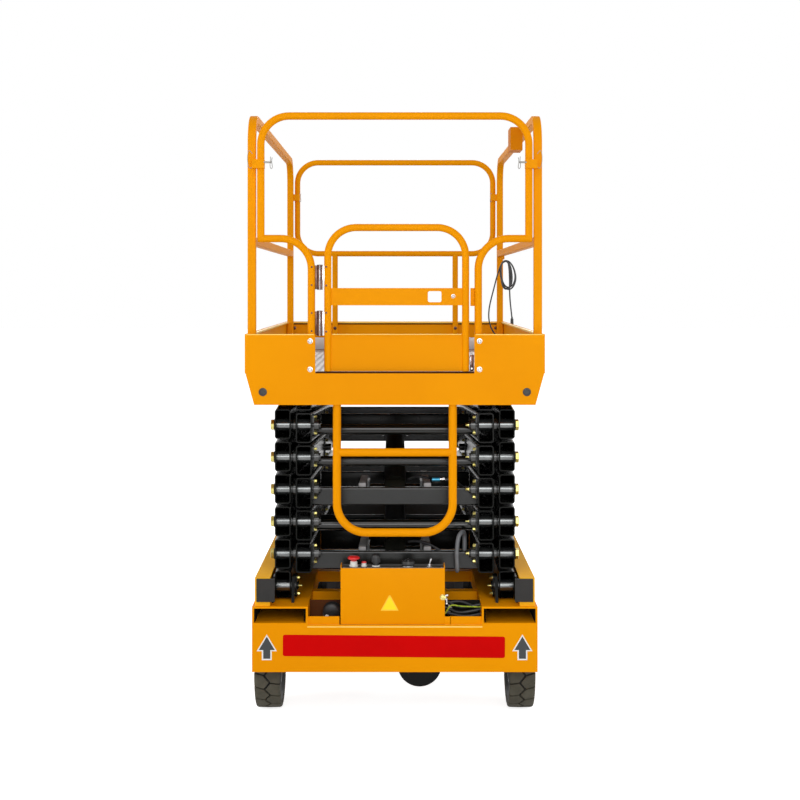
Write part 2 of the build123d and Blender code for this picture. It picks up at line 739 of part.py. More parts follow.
# ---------------------------------------------------------------- lift cylinders
barrel_start = 38.0
barrel_end = 1560.0
barrel_bore = 40.0
gland_length = 30.0
gland_play = 0.05
piston_start = 828.0
piston_length = 60.0
rod_end = 1668.0
for number, base_level in ((1, 1), (2, 3)):
    base_plane = arm_side_plane(base_level, -1)
    eye_plane = arm_side_plane(base_level + 2, -1)
    base = base_plane.from_local_coords(Vector(cylinder_base_along, 0, 0))
    eye = eye_plane.from_local_coords(Vector(cylinder_eye_along, -cylinder_eye_drop, 0))
    reach = eye - base
    along_plane = Plane(origin=base, x_dir=(1, 0, 0), z_dir=reach)
    with BuildPart() as barrel:
        with BuildSketch(along_plane.offset(barrel_start)):
            Circle(barrel_r)
        extrude(amount=barrel_end - barrel_start)
        with BuildSketch(Plane(origin=base, x_dir=reach, z_dir=(1, 0, 0))):
            Circle(eye_r)
        extrude(amount=eye_half_x, both=True)
        with BuildSketch(Plane(origin=base, x_dir=reach, z_dir=(1, 0, 0))):
            Circle(base_pin_r + pin_play)
        extrude(amount=2 * barrel_r, both=True, mode=Mode.SUBTRACT)
        with BuildSketch(along_plane.offset(barrel_start + 62)):
            Circle(barrel_bore)
        extrude(amount=barrel_end - gland_length - barrel_start - 62, mode=Mode.SUBTRACT)
        with BuildSketch(along_plane.offset(barrel_end - gland_length - 1)):
            Circle(rod_r + gland_play)
        extrude(amount=gland_length + 2, mode=Mode.SUBTRACT)
    keep(barrel, f"lift_barrel_{number}")
    with BuildPart() as rod:
        with BuildSketch(along_plane.offset(piston_start)):
            Circle(rod_r)
        extrude(amount=rod_end - piston_start)
        with BuildSketch(along_plane.offset(piston_start)):
            Circle(barrel_bore - gland_play)
        extrude(amount=piston_length)
        with BuildSketch(Plane(origin=eye, x_dir=reach, z_dir=(1, 0, 0))):
            Circle(rod_eye_r)
        extrude(amount=eye_half_x, both=True)
    keep(rod, f"lift_rod_{number}")
    print("cylinder", number, "pin to pin", round(reach.length, 2))

# ---------------------------------------------------------------- platform
rib_height = 30.0
rib_width = 50.0
rib_ys = (near_pin_y, near_pin_y / 2, 0.0, -near_pin_y / 2, -near_pin_y)
deck_half_y = half_length - 8
hanger_r = 38.0
with BuildPart() as deck:
    with BuildSketch(Plane.XY.offset(deck_z - deck_t)):
        Rectangle(2 * (deck_half_x - 9), 2 * deck_half_y)
    extrude(amount=deck_t)
    with BuildSketch(Plane.XY.offset(deck_z - deck_t)):
        for rib_y in rib_ys:
            with Locations((0, rib_y)):
                Rectangle(2 * (fascia_foot_half_x + 20), rib_width if rib_y != near_pin_y else 120.0)
    extrude(amount=-rib_height)
    # hangers either side of the top arms, with their pins
    hanger_mid_z = (top_pin_z + deck_z - deck_t) / 2
    for low_x in (
        inner_arm_inner_x - bracket_gap - bracket_t,
        inner_arm_face_x + bracket_gap,
        -inner_arm_inner_x + bracket_gap,
        -inner_arm_face_x - bracket_gap - bracket_t,
    ):
        with BuildSketch(Plane.YZ.offset(low_x)):
            with Locations((near_pin_y, top_pin_z)):
                Circle(hanger_r)
            with Locations((near_pin_y, hanger_mid_z)):
                Rectangle(2 * hanger_r, deck_z - deck_t - top_pin_z)
        extrude(amount=bracket_t)
    for side in (-1, 1):
        with BuildSketch(Plane.YZ.offset(side * (inner_arm_inner_x - bracket_gap - bracket_t - 10))):
            with Locations((near_pin_y, top_pin_z)):
                Circle(pin_r)
        extrude(amount=side * (arm_width + 2 * bracket_gap + 2 * bracket_t + 20))
keep(deck, "deck")

fascia_t = 8.0
skirt_t = 6.0
skirt_gap = 0.5
with BuildPart() as platform_sides:
    with BuildSketch(Plane.XZ.offset(half_length)):
        with BuildLine():
            Polyline(
                (-deck_half_x, deck_z),
                (deck_half_x, deck_z),
                (fascia_foot_half_x, fascia_foot_z),
                (-fascia_foot_half_x, fascia_foot_z),
                close=True,
            )
        make_face()
    extrude(amount=-fascia_t)
    mirror(about=Plane.XZ)
    with BuildSketch(Plane.XZ):
        with BuildLine():
            Polyline(
                (deck_half_x, deck_z),
                (deck_half_x - skirt_t, deck_z),
                (fascia_foot_half_x - skirt_t, fascia_foot_z),
                (fascia_foot_half_x, fascia_foot_z),
                close=True,
            )
        make_face()
    extrude(amount=half_length - fascia_t - skirt_gap, both=True)
    with BuildSketch(Plane.XZ):
        with BuildLine():
            Polyline(
                (-deck_half_x, deck_z),
                (-deck_half_x + skirt_t, deck_z),
                (-fascia_foot_half_x + skirt_t, fascia_foot_z),
                (-fascia_foot_half_x, fascia_foot_z),
                close=True,
            )
        make_face()
    extrude(amount=half_length - fascia_t - skirt_gap, both=True)
keep(platform_sides, "platform_sides")

deck_track_inner_x = track_inner_x - 6
deck_track_outer_x = fascia_foot_half_x - skirt_t - 4
deck_track_low_z = fascia_foot_z
deck_track_roof_z = top_pin_z + roller_r + 1
with BuildPart() as deck_tracks:
    with BuildSketch(Plane.XZ):
        with BuildLine():
            Polyline(
                (deck_track_inner_x, deck_track_low_z),
                (deck_track_outer_x, deck_track_low_z),
                (deck_track_outer_x, deck_z - deck_t - rib_height),
                (deck_track_inner_x, deck_z - deck_t - rib_height),
                (deck_track_inner_x, deck_track_roof_z),
                (deck_track_outer_x - track_wall, deck_track_roof_z),
                (deck_track_outer_x - track_wall, deck_track_low_z + 6),
                (deck_track_inner_x, deck_track_low_z + 6),
                close=True,
            )
        make_face()
    extrude(amount=half_length - fascia_t, both=True)
    mirror(about=Plane.YZ)
keep(deck_tracks, "deck_tracks")

gate_post_x = 356.0
toe_outer_x = deck_half_x + 3
toe_gap = 0.5
panel_inner_x = 338.0
with BuildPart() as toe_boards:
    with BuildSketch(Plane.XY.offset(deck_z)):
        with Locations((toe_outer_x - toe_board_t / 2, 0), (-toe_outer_x + toe_board_t / 2, 0)):
            Rectangle(toe_board_t, 2 * (half_length - toe_board_t - toe_gap))
        with Locations((0, half_length - toe_board_t / 2)):
            Rectangle(2 * toe_outer_x, toe_board_t)
        panel_width = toe_outer_x - panel_inner_x
        with Locations(
            (panel_inner_x + panel_width / 2, -half_length + toe_board_t / 2),
            (-panel_inner_x - panel_width / 2, -half_length + toe_board_t / 2),
        ):
            Rectangle(panel_width, toe_board_t)
    extrude(amount=toe_board_height)
keep(toe_boards, "toe_boards")

# side guardrails: one bent square tube each, with a mid rail, feet and clips for the end hoops
guard_z = deck_z + guard_height - side_tube / 2
mid_rail_z = deck_z + 564
side_half_y = half_length - 52.5
hoop_y = half_length - 28
hoop_x = side_rail_x - 40
clip_z = deck_z + 892
clip_height = 38.0
foot_t = 8.0
cord_hook_y = half_length - 330
with BuildPart() as side_rails:
    for side in (-1, 1):
        rail_x = side * side_rail_x
        with BuildLine(Plane.YZ.offset(rail_x)) as hoop_line:
            FilletPolyline(
                (-side_half_y, deck_z),
                (-side_half_y, guard_z),
                (side_half_y, guard_z),
                (side_half_y, deck_z),
                radius=bend_r,
            )
        with BuildSketch(Plane.XY.offset(deck_z)):
            with Locations((rail_x, -side_half_y)):
                RectangleRounded(side_tube, side_tube, 4)
        sweep(path=hoop_line.wires()[0])
        with BuildSketch(Plane.XZ.offset(side_half_y)):
            with Locations((rail_x, mid_rail_z)):
                RectangleRounded(side_tube, side_tube, 4)
        extrude(amount=-2 * side_half_y)
        with BuildSketch(Plane.XY.offset(deck_z)):
            with Locations((rail_x - side * 7, -side_half_y), (rail_x - side * 7, side_half_y)):
                Rectangle(50, 60)
        extrude(amount=foot_t)
        for end in (-1, 1):
            with BuildSketch(Plane.XY.offset(clip_z - clip_height / 2)):
                with Locations((side * (hoop_x + 10), end * (hoop_y - 2))):
                    Rectangle(50, 50)
                with Locations((side * hoop_x, end * hoop_y)):
                    Circle(tube_r + 0.5, mode=Mode.SUBTRACT)
            extrude(amount=clip_height)
    # hook under the right mid rail for the control cable
    with BuildSketch(Plane.XY.offset(mid_rail_z - side_tube / 2 - 22)):
        with Locations((side_rail_x, cord_hook_y)):
            Rectangle(12, 12)
    extrude(amount=24)
keep(side_rails, "side_rails")

# front frame: hoop over the gate, its mid rails bent down to the gate posts
hoop_top_z = deck_z + guard_height - tube_r
front_mid_z = deck_z + 574
post_bend_r = 130.0
with BuildPart() as front_rail:
    with BuildLine(Plane.XZ.offset(hoop_y)) as front_hoop:
        FilletPolyline(
            (-hoop_x, front_mid_z),
            (-hoop_x, hoop_top_z),
            (hoop_x, hoop_top_z),
            (hoop_x, front_mid_z),
            radius=bend_r,
        )
    with BuildSketch(Plane.XY.offset(front_mid_z)):
        with Locations((-hoop_x, -hoop_y)):
            Circle(tube_r)
    sweep(path=front_hoop.wires()[0])
    for side in (-1, 1):
        with BuildLine(Plane.XZ.offset(hoop_y)) as post_line:
            FilletPolyline(
                (side * gate_post_x, deck_z),
                (side * gate_post_x, front_mid_z),
                (side * (hoop_x + 12), front_mid_z),
                radius=post_bend_r,
            )
        with BuildSketch(Plane.XY.offset(deck_z)):
            with Locations((side * gate_post_x, -hoop_y)):
                Circle(tube_r)
        sweep(path=post_line.wires()[0])
keep(front_rail, "front_rail")

rear_mid_z = mid_rail_z
rear_leg_x = 352.0
with BuildPart() as rear_rail:
    with BuildLine(Plane.XZ.offset(-hoop_y)) as rear_hoop:
        FilletPolyline(
            (-hoop_x, rear_mid_z),
            (-hoop_x, hoop_top_z),
            (hoop_x, hoop_top_z),
            (hoop_x, rear_mid_z),
            radius=bend_r,
            close=True,
        )
    rear_wire = rear_hoop.wires()[0]
    with BuildSketch(Plane(origin=rear_wire @ 0, z_dir=rear_wire % 0)):
        Circle(tube_r)
    sweep(path=rear_wire)
    for side in (-1, 1):
        with BuildSketch(Plane.XY.offset(deck_z)):
            with Locations((side * rear_leg_x, hoop_y)):
                Circle(tube_r)
        extrude(amount=rear_mid_z - deck_z)
keep(rear_rail, "rear_rail")

ladder_x = 247.0
ladder_tube_r = 17.5
ladder_bottom_z = fascia_foot_z - 546
rung_z = fascia_foot_z - 204
ladder_y = -half_length + fascia_t + ladder_tube_r
ladder_top_z = fascia_foot_z + 60
with BuildPart() as ladder:
    with BuildLine(Plane.XZ.offset(-ladder_y)) as ladder_line:
        FilletPolyline(
            (-ladder_x, ladder_top_z),
            (-ladder_x, ladder_bottom_z),
            (ladder_x, ladder_bottom_z),
            (ladder_x, ladder_top_z),
            radius=125,
        )
    with BuildSketch(Plane.XY.offset(ladder_top_z)):
        with Locations((-ladder_x, ladder_y)):
            Circle(ladder_tube_r)
    sweep(path=ladder_line.wires()[0])
    with BuildSketch(Plane.YZ.offset(-ladder_x)):
        with Locations((ladder_y, rung_z)):
            Circle(ladder_tube_r)
    extrude(amount=2 * ladder_x)
keep(ladder, "ladder")

# sheet-metal holder for the upper controls, on the inside of the right top rail
holder_width = 56.0
holder_height = 107.0
holder_depth = 150.0
holder_y = -half_length / 2
holder_t = 3.0
with BuildPart() as control_holder:
    holder_x = side_rail_x - side_tube / 2 - holder_width / 2
    with BuildSketch(Plane.XY.offset(guard_z + side_tube / 2 - holder_height)):
        with Locations((holder_x, holder_y + holder_depth / 2)):
            Rectangle(holder_width, holder_depth)
    extrude(amount=holder_height)
    with BuildSketch(Plane.XY.offset(guard_z + side_tube / 2)):
        with Locations((holder_x, holder_y + holder_depth / 2)):
            Rectangle(holder_width - 2 * holder_t, holder_depth - 2 * holder_t)
    extrude(amount=-holder_height + holder_t, mode=Mode.SUBTRACT)
keep(control_holder, "control_holder")

# ---------------------------------------------------------------- gate
gate_left_x = -286.0
gate_right_x = 302.0
gate_tube_r = 15.5
gate_top_z = deck_z + 621
gate_foot_z = deck_z + 8
gate_plate_t = 3.0
toe_plate_top_z = deck_z + 165
bar_low_z = deck_z + 289
bar_high_z = deck_z + 363
hinge_x = -320.0
hinge_pin_r = 7.0
hinge_zs = (deck_z + 213, deck_z + 409)
hinge_height = 107.0
with BuildPart() as gate:
    with BuildLine(Plane.XZ.offset(hoop_y)) as gate_line:
        FilletPolyline(
            (gate_left_x, gate_foot_z),
            (gate_left_x, gate_top_z),
            (gate_right_x, gate_top_z),
            (gate_right_x, gate_foot_z),
            radius=bend_r,
        )
    with BuildSketch(Plane.XY.offset(gate_foot_z)):
        with Locations((gate_left_x, -hoop_y)):
            Circle(gate_tube_r)
    sweep(path=gate_line.wires()[0])
    gate_mid_x = (gate_left_x + gate_right_x) / 2
    gate_width = gate_right_x - gate_left_x
    with BuildSketch(Plane.XZ.offset(hoop_y)):
        with Locations((gate_mid_x, (gate_foot_z + toe_plate_top_z) / 2)):
            Rectangle(gate_width, toe_plate_top_z - gate_foot_z)
        with Locations((gate_mid_x, (bar_low_z + bar_high_z) / 2)):
            Rectangle(gate_width, bar_high_z - bar_low_z)
        with Locations((170, (bar_low_z + bar_high_z) / 2)):
            RectangleRounded(58, 47, 8, mode=Mode.SUBTRACT)
    extrude(amount=gate_plate_t, both=True)
keep(gate, "gate")

with BuildPart() as gate_hinges:
    for hinge_z in hinge_zs:
        with BuildSketch(Plane.XY.offset(hinge_z - hinge_height / 2)):
            with Locations((hinge_x, -hoop_y)):
                Circle(hinge_pin_r)
            with Locations(((hinge_x + gate_left_x - gate_tube_r) / 2, -hoop_y)):
                Rectangle(gate_left_x - gate_tube_r - hinge_x, 4)
        extrude(amount=hinge_height)
keep(gate_hinges, "gate_hinges")

# ---------------------------------------------------------------- control cable hung on the right mid rail
cable_r = 4.0
cable_y = cord_hook_y
coil_top_z = mid_rail_z - side_tube / 2 - 24
coil_bottom_z = deck_z + 349
coil_half_width = 54.0
coil_x = side_rail_x + 38
cable_points = (
    (toe_outer_x - toe_board_t - 16, cable_y, deck_z + 60),
    (585.0, cable_y, deck_z + 78),
    (548.0, cable_y, deck_z + 122),
    (529.0, cable_y, deck_z + 180),
    (530.0, cable_y, deck_z + 242),
    (543.0, cable_y, deck_z + 302),
    (559.0, cable_y, deck_z + 362),
    (574.0, cable_y, deck_z + 422),
    (588.0, cable_y, deck_z + 467),
    (coil_x - coil_half_width + 4, cable_y, coil_top_z - 22),
)
drop_points = (
    (coil_x, cable_y, coil_bottom_z - 2),
    (649.0, cable_y, coil_bottom_z - 52),
    (655.0, cable_y, coil_bottom_z - 106),
    (661.0, cable_y, coil_bottom_z - 158),
)


def bend_radii(points):
    radii = []
    for before, here, after in zip(points, points[1:], points[2:]):
        run_in = Vector(*here) - Vector(*before)
        run_out = Vector(*after) - Vector(*here)
        turn = run_in.get_angle(run_out)
        shorter = min(run_in.length, run_out.length)
        radii.append(0.45 * shorter / tan(radians(turn / 2)))
    return radii


with BuildPart() as cord_cable:
    for points in (cable_points, drop_points):
        radii = bend_radii(points)
        print("cable bend radii", [round(r) for r in radii])
        with BuildLine() as cable_line:
            FilletPolyline(*points, radius=radii)
        cable_wire = cable_line.wires()[0]
        with BuildSketch(Plane(origin=cable_wire @ 0, z_dir=cable_wire % 0)):
            Circle(cable_r)
        sweep(path=cable_wire)
keep(cord_cable, "cord_cable")

with BuildPart() as cord_coil:
    with BuildSketch(Plane.XZ.offset(-cable_y)):
        with Locations((coil_x, (coil_top_z + coil_bottom_z) / 2)):
            Ellipse(coil_half_width, (coil_top_z - coil_bottom_z) / 2)
            Ellipse(coil_half_width - 16, (coil_top_z - coil_bottom_z) / 2 - 16, mode=Mode.SUBTRACT)
    extrude(amount=12, both=True)
keep(cord_coil, "cord_coil")

plug_r = 9.0
plug_length = 40.0
with BuildPart() as cord_plug:
    plug_top = drop_points[-1]
    with BuildSketch(Plane.XY.offset(plug_top[2] - plug_length - 1)):
        with Locations((plug_top[0], plug_top[1])):
            Circle(plug_r)
    extrude(amount=plug_length)
keep(cord_plug, "cord_plug")

with BuildPart() as cord_gland:
    with BuildSketch(Plane.YZ.offset(toe_outer_x - toe_board_t - 14)):
        with Locations((cable_y, deck_z + 60)):
            Circle(11)
    extrude(amount=14)
keep(cord_gland, "cord_gland")
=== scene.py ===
import json
import math

import bmesh
import bpy
from mathutils import Matrix, Vector


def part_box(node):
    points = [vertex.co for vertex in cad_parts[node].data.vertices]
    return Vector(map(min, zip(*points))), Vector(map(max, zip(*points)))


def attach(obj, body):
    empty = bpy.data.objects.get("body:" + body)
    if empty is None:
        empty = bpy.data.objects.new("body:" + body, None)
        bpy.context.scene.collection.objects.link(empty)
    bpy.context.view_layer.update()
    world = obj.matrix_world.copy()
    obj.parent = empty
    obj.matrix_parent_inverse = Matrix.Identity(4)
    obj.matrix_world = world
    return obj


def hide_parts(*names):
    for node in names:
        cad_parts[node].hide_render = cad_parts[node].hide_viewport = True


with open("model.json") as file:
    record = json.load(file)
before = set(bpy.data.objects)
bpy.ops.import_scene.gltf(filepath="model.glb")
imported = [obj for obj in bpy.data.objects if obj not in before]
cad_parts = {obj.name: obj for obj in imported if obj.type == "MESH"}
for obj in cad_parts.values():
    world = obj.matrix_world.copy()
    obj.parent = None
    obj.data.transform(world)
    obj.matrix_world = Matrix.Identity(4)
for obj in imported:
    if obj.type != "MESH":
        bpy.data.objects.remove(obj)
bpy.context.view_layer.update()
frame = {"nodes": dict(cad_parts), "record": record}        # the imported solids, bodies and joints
nodes = frame["nodes"]
print("loaded", len(nodes), "solids")

# Sizes below are in millimetres. finishPiece turns them into metres.
metresPerMm = 0.001


def nodeBox(name):
    low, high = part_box(name)
    return low / metresPerMm, high / metresPerMm


# places that the solids give
plateBox = nodeBox("end_plates")
boxLow, boxHigh = nodeBox("control_box")
toeBox = nodeBox("toe_boards")
sidesBox = nodeBox("platform_sides")
frontY = plateBox[0].y
boxFront = boxLow.y
deckTop = sidesBox[1].z
plateTop = 444

# ---- camera and light ----
view = {"place": (0.005, -7.45, 1.876), "lens": 66.2, "sideShift": 0.005, "downShift": -0.14}
scene = bpy.context.scene
scene.view_settings.view_transform = "Standard"
cameraData = bpy.data.cameras.new("viewCamera")
cameraData.lens = view["lens"]
cameraData.sensor_width = 36
cameraData.shift_x = view["sideShift"]
cameraData.shift_y = view["downShift"]
camera = bpy.data.objects.new("viewCamera", cameraData)
camera.location = view["place"]
camera.rotation_euler = (math.radians(90), 0, 0)
scene.collection.objects.link(camera)
scene.camera = camera

# a lamp's watts, size, place, and the point that it faces
lamps = {
    "keyStrip": (62, (3.4, 1.2), (-0.9, -5.2, 6.6), (0, -1, 1.2)),
    "frontStrip": (130, (3.4, 2.4), (0.4, -6.4, 2.6), (0, -1, 0.8)),
    "leftFill": (125, (2.5, 2.5), (-6.5, -1.5, 3.5), (0, 0, 1.2)),
    "rightFill": (100, (2.5, 2.5), (6.5, -0.5, 3.2), (0, 0, 1.2)),
    "rearFill": (95, (3, 1.5), (0.5, 6.5, 4.5), (0, 0, 1.2)),
}
for lampName, (watts, size, place, target) in lamps.items():
    lampData = bpy.data.lights.new(lampName, "AREA")
    lampData.shape = "RECTANGLE"
    lampData.energy = watts
    lampData.size = size[0]
    lampData.size_y = size[1]
    lamp = bpy.data.objects.new(lampName, lampData)
    lamp.location = place
    aim = Vector(target) - Vector(place)
    lamp.rotation_euler = aim.to_track_quat("-Z", "Y").to_euler()
    scene.collection.objects.link(lamp)


def addNode(tree, kind, values=()):
    made = tree.nodes.new("ShaderNode" + kind)
    for socket, value in dict(values).items():
        made.inputs[socket].default_value = value
    return made


def backgroundRays(tree):
    # 1 for the rays that should see plain white: camera, glossy and transmission
    rays = addNode(tree, "LightPath")
    largest = rays.outputs["Is Camera Ray"]
    for ray in ("Is Glossy Ray", "Is Transmission Ray"):
        larger = addNode(tree, "Math")
        larger.operation = "MAXIMUM"
        tree.links.new(largest, larger.inputs[0])
        tree.links.new(rays.outputs[ray], larger.inputs[1])
        largest = larger.outputs[0]
    return largest


studio = {"fillStrength": 0.42, "floorTone": 0.8, "floorLift": 0.84, "floorHalf": 60}
white = (1, 1, 1, 1)
world = bpy.data.worlds.new("studioWorld")
world.use_nodes = True
scene.world = world
worldTree = world.node_tree
worldTree.nodes.clear()
worldOut = addNode(worldTree, "OutputWorld")
worldMix = addNode(worldTree, "MixShader")
fillLight = addNode(worldTree, "Background", {"Color": white, "Strength": studio["fillStrength"]})
whiteView = addNode(worldTree, "Background", {"Color": white})
worldTree.links.new(backgroundRays(worldTree), worldMix.inputs[0])
worldTree.links.new(fillLight.outputs[0], worldMix.inputs[1])
worldTree.links.new(whiteView.outputs[0], worldMix.inputs[2])
worldTree.links.new(worldMix.outputs[0], worldOut.inputs["Surface"])

floorMaterial = bpy.data.materials.new("studioFloor")
floorMaterial.use_nodes = True
floorTree = floorMaterial.node_tree
floorShader = floorTree.nodes["Principled BSDF"]
floorTone = (studio["floorTone"],) * 3 + (1,)
floorLook = {"Base Color": floorTone, "Roughness": 0.9, "Specular IOR Level": 0.1, "Emission Color": white}
for socket, value in floorLook.items():
    floorShader.inputs[socket].default_value = value
floorLift = addNode(floorTree, "Math")
floorLift.operation = "MULTIPLY"
floorLift.inputs[1].default_value = studio["floorLift"]
floorTree.links.new(backgroundRays(floorTree), floorLift.inputs[0])
floorTree.links.new(floorLift.outputs[0], floorShader.inputs["Emission Strength"])
floorMesh = bpy.data.meshes.new("studioFloor")
half = studio["floorHalf"]
floorCorners = [(-half, -half, 0), (half, -half, 0), (half, half, 0), (-half, half, 0)]
floorMesh.from_pydata(floorCorners, [], [(0, 1, 2, 3)])
floorMesh.materials.append(floorMaterial)
floor = bpy.data.objects.new("studioFloor", floorMesh)
scene.collection.objects.link(floor)
print("camera, lamps and floor placed")


# ---- finishes ----
def screenTone(red, green, blue):
    # 0 to 255 as seen on a screen, to the linear colour that a shader takes
    parts = []
    for level in (red, green, blue):
        share = level / 255
        parts.append(share / 12.92 if share < 0.04045 else ((share + 0.055) / 1.055) ** 2.4)
    return (*parts, 1)


plainLook = {
    "metal": 0, "gloss": 0.5, "stretch": (1, 1, 1), "driftScale": 3, "markStart": 0.64,
    "markShare": 0.15, "roughSpread": 0.06, "grainScale": 350, "relief": 0.12,
}


def makeFinish(name, tone, deep, mark, roughness, special):
    # tone drifts slowly towards deep, marks are small scuffs, grain is the fine relief
    look = {**plainLook, **special}
    finish = bpy.data.materials.new(name)
    finish.use_nodes = True
    tree = finish.node_tree
    link = tree.links.new
    shader = tree.nodes["Principled BSDF"]
    shader.inputs["Metallic"].default_value = look["metal"]
    shader.inputs["Specular IOR Level"].default_value = look["gloss"]
    place = addNode(tree, "TexCoord")
    stretch = addNode(tree, "Mapping", {"Scale": look["stretch"]})
    link(place.outputs["Object"], stretch.inputs["Vector"])
    drift = addNode(tree, "TexNoise", {"Scale": look["driftScale"], "Detail": 4})
    link(stretch.outputs[0], drift.inputs["Vector"])
    tones = addNode(tree, "ValToRGB")
    for element, position, colour in zip(tones.color_ramp.elements, (0.35, 0.65), (deep, tone)):
        element.position = position
        element.color = screenTone(*colour)
    link(drift.outputs["Fac"], tones.inputs[0])
    scuffs = addNode(tree, "TexNoise", {"Scale": 38, "Detail": 6, "Roughness": 0.7})
    link(place.outputs["Object"], scuffs.inputs["Vector"])
    start, most = look["markStart"], look["markShare"]
    scuffShare = addNode(tree, "MapRange", {"From Min": start, "From Max": start + 0.1, "To Max": most})
    link(scuffs.outputs["Fac"], scuffShare.inputs["Value"])
    scuffed = addNode(tree, "Mix")
    scuffed.data_type = "RGBA"
    scuffed.inputs["B"].default_value = screenTone(*mark)
    link(scuffShare.outputs["Result"], scuffed.inputs["Factor"])
    link(tones.outputs["Color"], scuffed.inputs["A"])
    link(scuffed.outputs["Result"], shader.inputs["Base Color"])
    spread = look["roughSpread"]
    rough = addNode(tree, "MapRange", {"To Min": roughness - spread, "To Max": roughness + spread})
    link(scuffs.outputs["Fac"], rough.inputs["Value"])
    link(rough.outputs["Result"], shader.inputs["Roughness"])
    grain = addNode(tree, "TexNoise", {"Scale": look["grainScale"], "Detail": 2})
    link(stretch.outputs[0], grain.inputs["Vector"])
    relief = addNode(tree, "Bump", {"Strength": look["relief"], "Distance": 0.0006})
    link(grain.outputs["Fac"], relief.inputs["Height"])
    link(relief.outputs["Normal"], shader.inputs["Normal"])
    return finish


